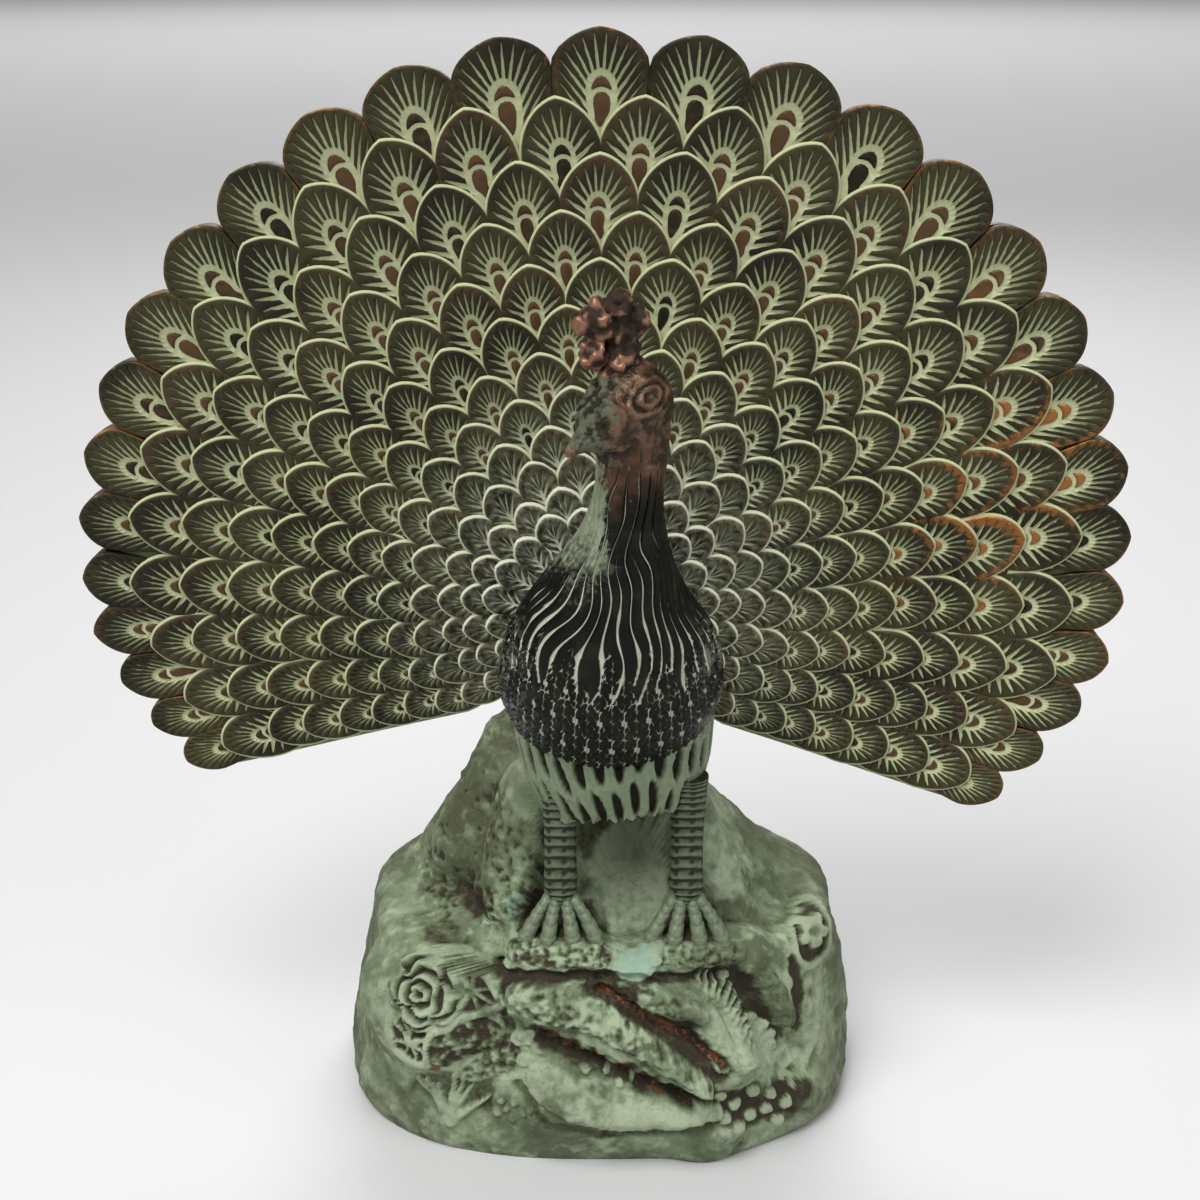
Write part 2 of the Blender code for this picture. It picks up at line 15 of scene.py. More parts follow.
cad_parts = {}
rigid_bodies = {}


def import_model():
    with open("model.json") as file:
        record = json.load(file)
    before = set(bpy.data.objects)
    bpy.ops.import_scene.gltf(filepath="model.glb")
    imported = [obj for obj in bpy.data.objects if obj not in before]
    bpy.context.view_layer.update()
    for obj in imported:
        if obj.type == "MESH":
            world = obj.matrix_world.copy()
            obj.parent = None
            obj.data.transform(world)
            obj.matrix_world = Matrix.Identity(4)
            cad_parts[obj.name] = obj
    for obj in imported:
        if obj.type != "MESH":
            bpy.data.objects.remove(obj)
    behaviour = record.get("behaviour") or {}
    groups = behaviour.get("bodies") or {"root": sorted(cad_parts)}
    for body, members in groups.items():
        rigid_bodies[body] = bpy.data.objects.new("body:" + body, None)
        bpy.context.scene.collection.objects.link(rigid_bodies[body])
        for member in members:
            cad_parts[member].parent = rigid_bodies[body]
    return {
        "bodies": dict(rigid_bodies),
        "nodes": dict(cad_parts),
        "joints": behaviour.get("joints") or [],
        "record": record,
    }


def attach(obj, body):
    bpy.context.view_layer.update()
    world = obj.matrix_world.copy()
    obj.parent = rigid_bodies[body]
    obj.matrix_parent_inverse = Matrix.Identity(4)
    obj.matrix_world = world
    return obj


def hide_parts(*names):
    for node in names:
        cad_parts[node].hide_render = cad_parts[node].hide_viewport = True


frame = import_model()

LOG = logging.getLogger("peacock")
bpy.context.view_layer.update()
NODE = "peacock_figurine"
Array = np.ndarray
Colour = tuple[float, float, float]
Spot = tuple[float, float, float]
Flat = tuple[float, float]


class Wire:
    """A number, colour or vector that leaves a shader node. Sums on it add Math nodes."""

    def __init__(self, tree: bpy.types.NodeTree, socket: bpy.types.NodeSocket) -> None:
        """Keeps the node tree and an output socket in it."""
        self.tree = tree
        self.socket = socket

    def math(self, operation: str, *values: "Wire | float") -> "Wire":
        """Adds one Math node.

        Args:
            operation: the Math node's operation.
            values: what goes into its sockets, in order.

        Returns:
            The node's result.
        """
        node = self.tree.nodes.new("ShaderNodeMath")
        node.operation = operation
        for place, value in enumerate(values):
            plug(self.tree, node.inputs[place], value)
        return Wire(self.tree, node.outputs[0])

    def __add__(self, other: "Wire | float") -> "Wire":
        """The sum."""
        return self.math("ADD", self, other)

    __radd__ = __add__

    def __mul__(self, other: "Wire | float") -> "Wire":
        """The product."""
        return self.math("MULTIPLY", self, other)

    __rmul__ = __mul__

    def __sub__(self, other: "Wire | float") -> "Wire":
        """The difference."""
        return self.math("SUBTRACT", self, other)

    def __rsub__(self, other: float) -> "Wire":
        """The difference, the other way round."""
        return self.math("SUBTRACT", other, self)

    def __abs__(self) -> "Wire":
        """The size without its sign."""
        return self.math("ABSOLUTE", self)

    def fraction(self) -> "Wire":
        """What is left after the whole number."""
        return self.math("FRACT", self)

    def most(self, other: "Wire | float") -> "Wire":
        """The larger of two."""
        return self.math("MAXIMUM", self, other)

    def kept(self) -> "Wire":
        """The value kept between nought and one."""
        return self.math("MINIMUM", self.most(0.0), 1.0)

    def swing(self, width: float) -> "Wire":
        """Noise made to swing about nought, this wide in all."""
        return (self - 0.5) * width

    def rise(self, low: "Wire | float", high: "Wire | float") -> "Wire":
        """A smooth step from nought at one value to one at another.

        Args:
            low: where the result is nought.
            high: where the result is one.

        Returns:
            The step.
        """
        node = self.tree.nodes.new("ShaderNodeMapRange")
        node.interpolation_type = "SMOOTHSTEP"
        for name, value in (("Value", self), ("From Min", low), ("From Max", high)):
            plug(self.tree, node.inputs[name], value)
        return Wire(self.tree, node.outputs[0])


def plug(
    tree: bpy.types.NodeTree, socket: bpy.types.NodeSocket, value: "Wire | float | Sequence[float]"
) -> None:
    """Links a wire into a socket, or sets a plain value on it.

    Args:
        tree: the node tree.
        socket: the input socket.
        value: a wire, a number or a colour.
    """
    if isinstance(value, Wire):
        tree.links.new(value.socket, socket)
    elif isinstance(value, (int, float)):
        socket.default_value = value
    else:
        socket.default_value = (*value, 1.0) if len(socket.default_value) == 4 else tuple(value)


class Shading:
    """One material's nodes."""

    specular: float = 0.28

    def __init__(self, name: str) -> None:
        """Starts a material.

        Args:
            name: the material's name.
        """
        self.material = bpy.data.materials.new(name)
        self.material.use_nodes = True
        self.tree = self.material.node_tree
        self.shader = self.tree.nodes["Principled BSDF"]

    def node(self, kind: str, settings: dict, inputs: dict, output: str | int = 0) -> Wire:
        """Adds one node of any type.

        Args:
            kind: the node's type.
            settings: its properties.
            inputs: what goes into its sockets, by name or place.
            output: which of its outputs is wanted.

        Returns:
            That output.
        """
        node = self.tree.nodes.new(kind)
        for key, value in settings.items():
            setattr(node, key, value)
        for key, value in inputs.items():
            plug(self.tree, node.inputs[key], value)
        return Wire(self.tree, node.outputs[output])

    def place(self) -> Wire:
        """The point's place on the object, in metres."""
        return self.node("ShaderNodeTexCoord", {}, {}, "Object")

    def chart(self, name: str) -> list[Wire]:
        """A UV map's numbers, which count across and along."""
        return self.parts(self.node("ShaderNodeUVMap", {"uv_map": name}, {}))[:2]

    def parts(self, vector: Wire) -> list[Wire]:
        """A vector's three numbers."""
        node = self.node("ShaderNodeSeparateXYZ", {}, {0: vector}).socket.node
        return [Wire(self.tree, output) for output in node.outputs]

    def grain(self, size: float, detail: float) -> Wire:
        """Cloudy noise between nought and one: its clouds' size in metres, and its finer layers."""
        inputs = {"Vector": self.place(), "Scale": 1 / size, "Detail": detail, "Roughness": 0.55}
        return self.node("ShaderNodeTexNoise", {}, inputs, "Fac")

    def attribute(self, name: str) -> Wire:
        """A number that the mesh keeps at each point."""
        return self.node("ShaderNodeAttribute", {"attribute_name": name}, {}, "Fac")

    def blend(self, share: Wire | float, first: Wire | Colour, second: Wire | Colour) -> Wire:
        """A mix of two colours, with this share of the second."""
        inputs = {"Factor": share, 6: first, 7: second}
        return self.node("ShaderNodeMix", {"data_type": "RGBA"}, inputs, 2)

    def near(self, centre: Spot, inner: float, outer: float) -> Wire:
        """One close to a place on the object, falling to nought further away.

        Args:
            centre: the place.
            inner: the distance within which it is one.
            outer: the distance beyond which it is nought.

        Returns:
            The falling value.
        """
        inputs = {0: self.place(), 1: centre}
        away = self.node("ShaderNodeVectorMath", {"operation": "DISTANCE"}, inputs, "Value")
        return away.rise(outer, inner)

    def finish(
        self, colour: Wire, metallic: Wire | float, rough: Wire | float, height: Wire, depth: float
    ) -> bpy.types.Material:
        """Plugs the looks into the shader.

        Args:
            colour: the base colour.
            metallic: how metallic the surface is.
            rough: its roughness.
            height: the fine relief, from nought to one.
            depth: how deep that relief is, in metres.

        Returns:
            The material.
        """
        bump = self.node("ShaderNodeBump", {}, {"Strength": 1.0, "Distance": depth, "Height": height})
        looks = {"Base Color": colour, "Metallic": metallic, "Roughness": rough, "Normal": bump}
        for name, value in looks.items():
            plug(self.tree, self.shader.inputs[name], value)
        self.shader.inputs["Specular IOR Level"].default_value = self.specular
        return self.material


@dataclass(frozen=True)
class Patina:
    """The colours of the casting: what lies in the grooves, what stands up, and what is worn bare."""

    pale: Colour = (0.50, 0.53, 0.31)
    dust: Colour = (0.66, 0.68, 0.55)
    chalk: Colour = (0.50, 0.53, 0.41)
    olive: Colour = (0.044, 0.040, 0.014)
    dark: Colour = (0.014, 0.012, 0.004)
    green: Colour = (0.20, 0.26, 0.13)
    tarnish: Colour = (0.06, 0.045, 0.02)
    sage: Colour = (0.200, 0.258, 0.150)
    mist: Colour = (0.360, 0.420, 0.285)
    turquoise: Colour = (0.25, 0.42, 0.35)
    copper: Colour = (0.30, 0.125, 0.035)
    rosy_copper: Colour = (0.270, 0.135, 0.085)
    brown: Colour = (0.095, 0.050, 0.022)
    earth: Colour = (0.035, 0.026, 0.016)
    thigh: Colour = (0.225, 0.280, 0.170)
    leg: Colour = (0.17, 0.215, 0.13)
    leg_groove: Colour = (0.020, 0.021, 0.011)
    crest_groove: Colour = (0.030, 0.017, 0.010)


PATINA = Patina()
WORN_RIGHT = (0.048, -0.008, 0.084)  # where most copper shows on the fan


@dataclass(frozen=True)
class FeatherFinish:
    """Feathers of the fan: dark raised barbs, pale grooves between them, copper where they are worn, and on
    the rim's edge painted shade with painted copper glints.

    The UV map barbs counts the barbs across, and runs out from nought at their inner end to one at
    the feather's edge.
    """

    name: str = "feather_patina"
    bump: float = 0.00012
    fine: float = 0.0009
    cloud: float = 0.012
    groove: float = 0.31  # half a groove's width at its inner end, as a share of the barb's pitch
    taper: float = 0.31  # how much narrower it is at its outer end
    least: float = 0.035  # what it stays wider than
    waver: float = 0.20
    groove_end: float = 0.87
    root: Spot = (0.0, -0.004, 0.066)
    worn_left: Spot = (-0.017, -0.004, 0.072)

    def pale(self, place: Wire, count: Wire, fine: Wire) -> Wire:
        """Where the pale patina lies.

        Args:
            place: how far out a point is.
            count: the barbs, counted across.
            fine: the fine grain.

        Returns:
            One in the grooves, round the eye and at the feather's foot, and nought elsewhere.
        """
        off_centre = abs((count + fine.swing(self.waver)).fraction() - 0.5)
        width = (self.groove - self.taper * place).most(self.least)
        groove = off_centre.rise(width * 1.12, width * 0.70)
        groove = groove * place.rise(self.groove_end + 0.03, self.groove_end - 0.04)
        outline = (place + fine.swing(0.05)).rise(0.085, 0.03)
        foot = place.rise(1.02, 1.08)
        return groove.most(outline).most(foot)

    def material(self) -> bpy.types.Material:
        """Makes the material.

        Returns:
            The material.
        """
        look = Shading(self.name)
        count, place = look.chart("barbs")
        fine = look.grain(self.fine, 2.0)
        cloud = look.grain(self.cloud, 3.0)
        root = look.near(self.root, 0.006, 0.038)
        pale = self.pale(place, count, fine) * (0.82 + 0.35 * cloud)
        pale = (pale + root * (fine - 0.36)).kept()
        right = look.near(WORN_RIGHT, 0.004, 0.024)
        left = look.near(self.worn_left, 0.002, 0.010)
        burnish = look.attribute("wear") * 0.45 + place.rise(0.35, 0.95) * 0.40 + fine.swing(0.7)
        wear_and_rim_glint = (burnish + right * 0.55 + left * 0.35).rise(0.92, 1.22)
        # painted shade and highlight on the rim's rolled edge: the pale patina is left off it, and copper
        # glints lie on it in patches
        edge = look.attribute("rim") * place.rise(0.93, 0.99)
        pale = pale * (1 - edge)
        wear_and_rim_glint = wear_and_rim_glint.most(edge * (fine + cloud - 0.5).rise(0.42, 0.72) * 0.8)
        raised = look.blend(cloud.rise(0.35, 0.62), PATINA.dark, PATINA.olive)
        raised = look.blend(burnish.rise(0.60, 0.95) * 0.55, raised, PATINA.brown)
        raised = look.blend(wear_and_rim_glint * 0.85, raised, PATINA.copper)
        colour = look.blend(pale, raised, look.blend(root, PATINA.pale, PATINA.dust))
        rough = 0.52 + pale * 0.30 - wear_and_rim_glint * 0.12
        metallic = (1 - pale) * (0.20 + wear_and_rim_glint * 0.45)
        return look.finish(colour, metallic, rough, fine + pale * -0.3, self.bump)


@dataclass(frozen=True)
class EyeFinish:
    """The smooth drops and crescents in the feathers, brown to copper."""

    name: str = "eye_bronze"
    bump: float = 0.00008
    fine: float = 0.0012
    metallic: float = 0.40
    rough: float = 0.40

    def material(self) -> bpy.types.Material:
        """Makes the material.

        Returns:
            The material.
        """
        look = Shading(self.name)
        fine = look.grain(self.fine, 2.0)
        wear = look.attribute("wear")
        right = look.near(WORN_RIGHT, 0.008, 0.034)
        colour = look.blend((wear + fine.swing(0.6)).rise(0.05, 0.55), PATINA.dark, PATINA.brown)
        bright = right * 0.6 + wear * 0.5 + fine.swing(0.5)
        colour = look.blend(bright.rise(0.55, 0.95), colour, PATINA.copper)
        return look.finish(colour, self.metallic, self.rough, fine, self.bump)


@dataclass(frozen=True)
class CarvedFinish:
    """A carved surface: its low places and its high places each have their colour.

    The mesh keeps how high each point stands in the attribute relief.
    """

    name: str
    low: Colour
    high: Colour
    low_end: float
    high_end: float
    metallic: float = 0.35
    rough_low: float = 0.80
    rough_high: float = 0.40
    fine: float = 0.0008
    bump: float = 0.0001

    def material(self) -> bpy.types.Material:
        """Makes the material.

        Returns:
            The material.
        """
        look = Shading(self.name)
        fine = look.grain(self.fine, 2.0)
        high = (look.attribute("relief") + fine.swing(0.35)).rise(self.low_end, self.high_end)
        bare = (look.attribute("bare") + fine.swing(0.8)).rise(0.35, 0.75)
        colour = look.blend(bare, look.blend(high, self.low, self.high), PATINA.copper)
        rough = self.rough_low + high * (self.rough_high - self.rough_low)
        metallic = (high * self.metallic + bare * 0.6).kept()
        return look.finish(colour, metallic, rough, fine, self.bump)


@dataclass(frozen=True)
class PlumageFinish:
    """Neck and breast: near-black, with narrow pale grooves between long strands.

    The UV map strands counts the strands round the body, and the stations along it.
    """

    name: str = "plumage_patina"
    bump: float = 0.00012
    fine: float = 0.0006
    patch: float = 0.0040
    groove: float = 0.085  # half a groove's width, as a share of the strands' pitch
    breast: float = 4.0  # the station where the strands end
    neck: Flat = (5.4, 6.4)  # between these stations every second groove ends
    top: Flat = (8.4, 7.6)
    middle: float = 0.0014  # across, and the sizes below are heights or depths in metres
    pale_above: Flat = (0.0765, 0.0825)
    brown_above: Flat = (0.0850, 0.0900)
    rear_from: Flat = (0.0030, 0.0060)
    black: Colour = (0.009, 0.009, 0.007)
    charcoal: Colour = (0.022, 0.019, 0.012)
    neck_shade: Colour = (0.045, 0.028, 0.018)
    neck_brown: Colour = (0.140, 0.076, 0.044)

    def grooves(self, look: Shading, count: Wire, along: Wire, fine: Wire, uneven: Wire) -> Wire:
        """Where pale patina lies in the carving.

        Args:
            look: the material's nodes.
            count: the strands, counted round the body.
            along: the stations, counted along it.
            fine: the fine grain.
            uneven: a number that differs from strand to strand.

        Returns:
            One in the grooves between strands and in those of the breast's feathers.
        """
        line = (count + 0.5).math("FLOOR", count + 0.5)
        odd = (line * 0.5).fraction() * 2.0
        lower = self.breast + uneven.swing(3.2)
        width = self.groove * (0.35 + 2.2 * (uneven - 0.25).kept())
        width = width * (1 - odd * along.rise(*self.neck)) * along.rise(lower - 0.15, lower + 0.1)
        width = width * (1 + 0.9 * along.rise(lower + 0.9, lower))
        strand = abs(count - line).rise(width, width * 0.55) * along.rise(*self.top)
        feathers = (look.attribute("relief") + fine.swing(0.25)).rise(0.28, 0.12)
        feathers = feathers * along.rise(lower + 0.5, lower + 0.1)
        return (strand.most(feathers) * (0.7 + 0.6 * fine)).kept()

    def material(self) -> bpy.types.Material:
        """Makes the material.

        Returns:
            The material.
        """
        look = Shading(self.name)
        count, along = look.chart("strands")
        fine = look.grain(self.fine, 2.0)
        patch = look.grain(self.patch, 2.0)
        line = (count + 0.5).math("FLOOR", count + 0.5)
        spot = look.node("ShaderNodeCombineXYZ", {}, {0: line * 3.7, 1: along * 1.3})
        inputs = {"Vector": spot, "Scale": 1.0, "Detail": 1.0}
        uneven = look.node("ShaderNodeTexNoise", {}, inputs, "Fac")
        pale = self.grooves(look, count, along, fine, uneven)
        across, deep, height = look.parts(look.place())
        ragged = fine.swing(0.004) + patch.swing(0.006) + uneven.swing(0.003)
        left = (across + ragged).rise(self.middle, 0.0)
        left = left * (height + ragged * 1.5).rise(*self.pale_above)
        side = abs(across - self.middle).rise(0.0090, 0.0135) * (fine + patch - 0.5).rise(0.40, 0.75)
        top = (height + patch.swing(0.006)).rise(*self.brown_above)
        mottle = patch.rise(0.35, 0.65)
        dark = look.blend(patch.rise(0.45, 0.75), self.black, self.charcoal)
        dark = look.blend(top * 0.9, dark, look.blend(mottle, self.neck_shade, self.neck_brown))
        chalk = (pale * 0.92 + left * (0.20 + fine * 0.9) + side * 0.5).kept()
        colour = look.blend(chalk, dark, PATINA.chalk)
        colour = look.blend(left * 0.5, colour, PATINA.green)
        rear = look.blend(mottle, PATINA.tarnish, PATINA.green)
        colour = look.blend(deep.rise(*self.rear_from), colour, rear)
        return look.finish(colour, (1 - chalk) * 0.65, 0.42 + pale * 0.4, fine + pale * -0.4, self.bump)


@dataclass(frozen=True)
class HeadFinish:
    """The burnished head: copper-brown, dark green and pitted on the left of the face."""

    name: str = "head_copper"
    bump: float = 0.00022
    fine: float = 0.0005
    patch: float = 0.0026
    shade: Colour = (0.036, 0.025, 0.017)
    bright: Colour = (0.175, 0.098, 0.058)
    moss: Colour = (0.098, 0.104, 0.066)
    beak_tip: Spot = (-0.0038, -0.0262, 0.0939)

    def material(self) -> bpy.types.Material:
        """Makes the material.

        Returns:
            The material.
        """
        look = Shading(self.name)
        fine = look.grain(self.fine, 3.0)
        patch = look.grain(self.patch, 3.0)
        across = look.parts(look.place())[0]
        relief = look.attribute("relief")
        bright = (patch * 0.7 + relief * 0.5 + fine.swing(0.3)).rise(0.50, 0.80)
        bare = look.blend(bright, self.shade, self.bright)
        mossy = (fine * 1.6 - 0.3 + relief - 0.5).rise(0.30, 0.85)
        left = (across * -350.0 + 0.9 + patch.swing(2.6)).rise(0.2, 0.8)
        colour = look.blend(left, bare, look.blend(mossy, PATINA.dark, self.moss))
        tip = look.near(self.beak_tip, 0.0004, 0.0018)
        colour = look.blend(tip * (fine + 0.1).kept(), colour, PATINA.rosy_copper)
        colour = look.blend(relief.rise(0.30, 0.05), colour, PATINA.dark)
        return look.finish(colour, 0.50 - left * 0.4, 0.36 + left * 0.35, fine + patch, self.bump)


@dataclass(frozen=True)
class RockFinish:
    """The rock: mottled sage, earth-brown in its hollows and darker at its edges as painted shade, with
    copper spots and turquoise stains.
    """

    name: str = "rock_verdigris"
    bump: float = 0.00022
    fine: float = 0.0005
    stipple: float = 0.0013
    patch: float = 0.0045
    broad: float = 0.0150
    stains: tuple[tuple[Spot, float], ...] = (
        ((0.0045, -0.0185, 0.0255), 0.0055),
        ((-0.0100, -0.0130, 0.0300), 0.0035),
        ((0.0165, -0.0150, 0.0250), 0.0030),
    )
    core: Spot = (0.0, -0.0100, 0.0160)
    edge_shade_start: float = 0.0255  # this far from the core the rock gets darker, painted shade towards its silhouette
    edge_shade_end: float = 0.0370
    hollow: Spot = (-0.0175, -0.0050, 0.0400)  # and round this place it gets darker too
    shade: Colour = (0.105, 0.132, 0.072)
    speck: Colour = (0.060, 0.072, 0.036)
    # the colour of the painted shade at the silhouette, also laid in the darker patch
    edge_shade_and_dark_patch: Colour = (0.050, 0.050, 0.022)
    umber: Colour = (0.050, 0.040, 0.022)
    moss: Colour = (0.080, 0.095, 0.048)
    bare_metal: Colour = (0.235, 0.095, 0.045)

    def material(self) -> bpy.types.Material:
        """Makes the material.

        Returns:
            The material.
        """
        look = Shading(self.name)
        fine = look.grain(self.fine, 3.0)
        patch = look.grain(self.patch, 3.0)
        broad = look.grain(self.broad, 2.0)
        stipple = look.grain(self.stipple, 2.0)
        relief = look.attribute("relief")
        tone = relief + fine.swing(0.45) + patch.swing(0.55) + stipple.swing(0.35)
        sage = look.blend((broad + patch.swing(0.8)).rise(0.34, 0.62), self.shade, PATINA.sage)
        misty = (relief + broad.swing(1.2) + stipple.swing(0.6)).rise(0.62, 1.10)
        sage = look.blend(misty, sage, PATINA.mist)
        sage = look.blend((fine + (patch - 0.5)).rise(0.60, 0.85) * 0.35, sage, self.speck)
        # painted shade: the rock darkens in patches towards its silhouette edges, and it darkens round the
        # place named hollow too
        edge = 1 - look.near(self.core, self.edge_shade_start, self.edge_shade_end)
        edge_shade_and_dark_patch_share = edge.most(look.near(self.hollow, 0.003, 0.013))
        edge_shade_and_dark_patch_share = edge_shade_and_dark_patch_share * (patch * 0.7 + stipple * 0.6 + fine * 0.2).rise(0.52, 0.86)
        sage = look.blend(edge_shade_and_dark_patch_share * 0.85, sage, self.edge_shade_and_dark_patch)
        for centre, reach in self.stains:
            stained = look.near(centre, reach * 0.3, reach) * patch.rise(0.35, 0.60)
            sage = look.blend(stained * 0.65, sage, PATINA.turquoise)
        low = look.blend(tone.rise(0.08, 0.42), PATINA.earth, self.umber)
        low = look.blend(tone.rise(0.12, 0.36) * 0.85, low, self.moss)
        colour = look.blend(tone.rise(0.26, 0.66), low, sage)
        bare = (look.attribute("bare") + fine.swing(1.6) + patch.swing(1.8)).rise(0.66, 0.86)
        colour = look.blend(bare * 0.85, colour, self.bare_metal)
        return look.finish(colour, bare * 0.5, 0.80 - bare * 0.3, fine + patch, self.bump)


@dataclass(frozen=True)
class FanForm:
    """The dished fan that the feathers lie on: the casting's own sizes, in metres."""

    root: Spot = (0.0, 0.0050, 0.0615)
    radius: float = 0.0648
    rise: float = 0.0113
    skirt_loss: float = 0.0135
    roll: float = math.radians(3.0)
    dish: float = 0.0105
    hem_drop: float = 0.0078
    hem_slope: float = 0.25
    hem_steps: int = 20
    thickness: float = 0.0020
    core_thickness: float = 0.0045
    core_share: float = 0.09
    core_spread: float = math.radians(126.0)
    crowding: float = 0.163
    shift: float = math.radians(-3.0)
    rows: tuple[tuple[float, int], ...] = (
        (1.0, 29), (0.905, 26), (0.815, 25), (0.73, 24), (0.65, 23), (0.575, 22),
        (0.505, 21), (0.44, 20), (0.38, 19), (0.325, 18), (0.275, 17), (0.23, 16),
    )

    def rim(self, turn: Array) -> Array:
        """How far the rim lies from the fan's root.

        Args:
            turn: how far round from straight up.

        Returns:
            The distances.
        """
        side = self.rise * np.sin(turn)
        circle = self.rise * np.cos(turn) + np.sqrt(self.radius**2 - side**2)
        return circle - self.skirt_loss * np.maximum(0.0, -np.cos(turn))

    def hem(self, share: float) -> float:
        """Where a row of feathers ends.

        Args:
            share: the row's place between root and rim, from nought to one.

        Returns:
            How far round from straight up that is.
        """
        turn = level = math.pi / 2
        for _ in range(self.hem_steps):
            drop = self.hem_drop / (share * float(self.rim(turn)) * math.hypot(1, self.hem_slope))
            turn = level + math.asin(min(drop, 1.0)) + math.atan(self.hem_slope)
        return min(turn, self.core_spread)

    def turn(self, share: float, feathers: int, place: Array) -> Array:
        """The turn at places in a row, counted in feathers from its left end."""
        crowding = self.crowding if share == self.rows[0][0] else 0.0
        return self.spread(self.hem(share), crowding, 2 * place / feathers - 1)

    def spread(self, hem: Array | float, crowding: float, side: Array) -> Array:
        """The turn at places in a row, counted from -1 at its left end to 1 at its right one."""
        even = side + crowding * np.sin(math.pi * side) / math.pi
        return hem * even + self.shift * (1 - side * side)

    def point(self, reach: Array, turn: Array, lift: Array) -> Array:
        """Points on the fan's dished front.

        Args:
            reach: how far they are from the root.
            turn: how far round from straight up.
            lift: how far they stand off the front, towards the viewer.

        Returns:
            The points.
        """
        forward = self.dish * (reach / (self.radius + self.rise)) ** 2 + lift
        flat = np.stack([reach * np.sin(turn), -forward, reach * np.cos(turn)], axis=-1)
        turned = np.array(Matrix.Rotation(self.roll, 3, "Y"))
        return np.array(self.root) + flat @ turned.T


FAN = FanForm()


class FeatherKind(Enum):
    """How a feather is carved."""

    EYED = "eyed"
    BARBED = "barbed"


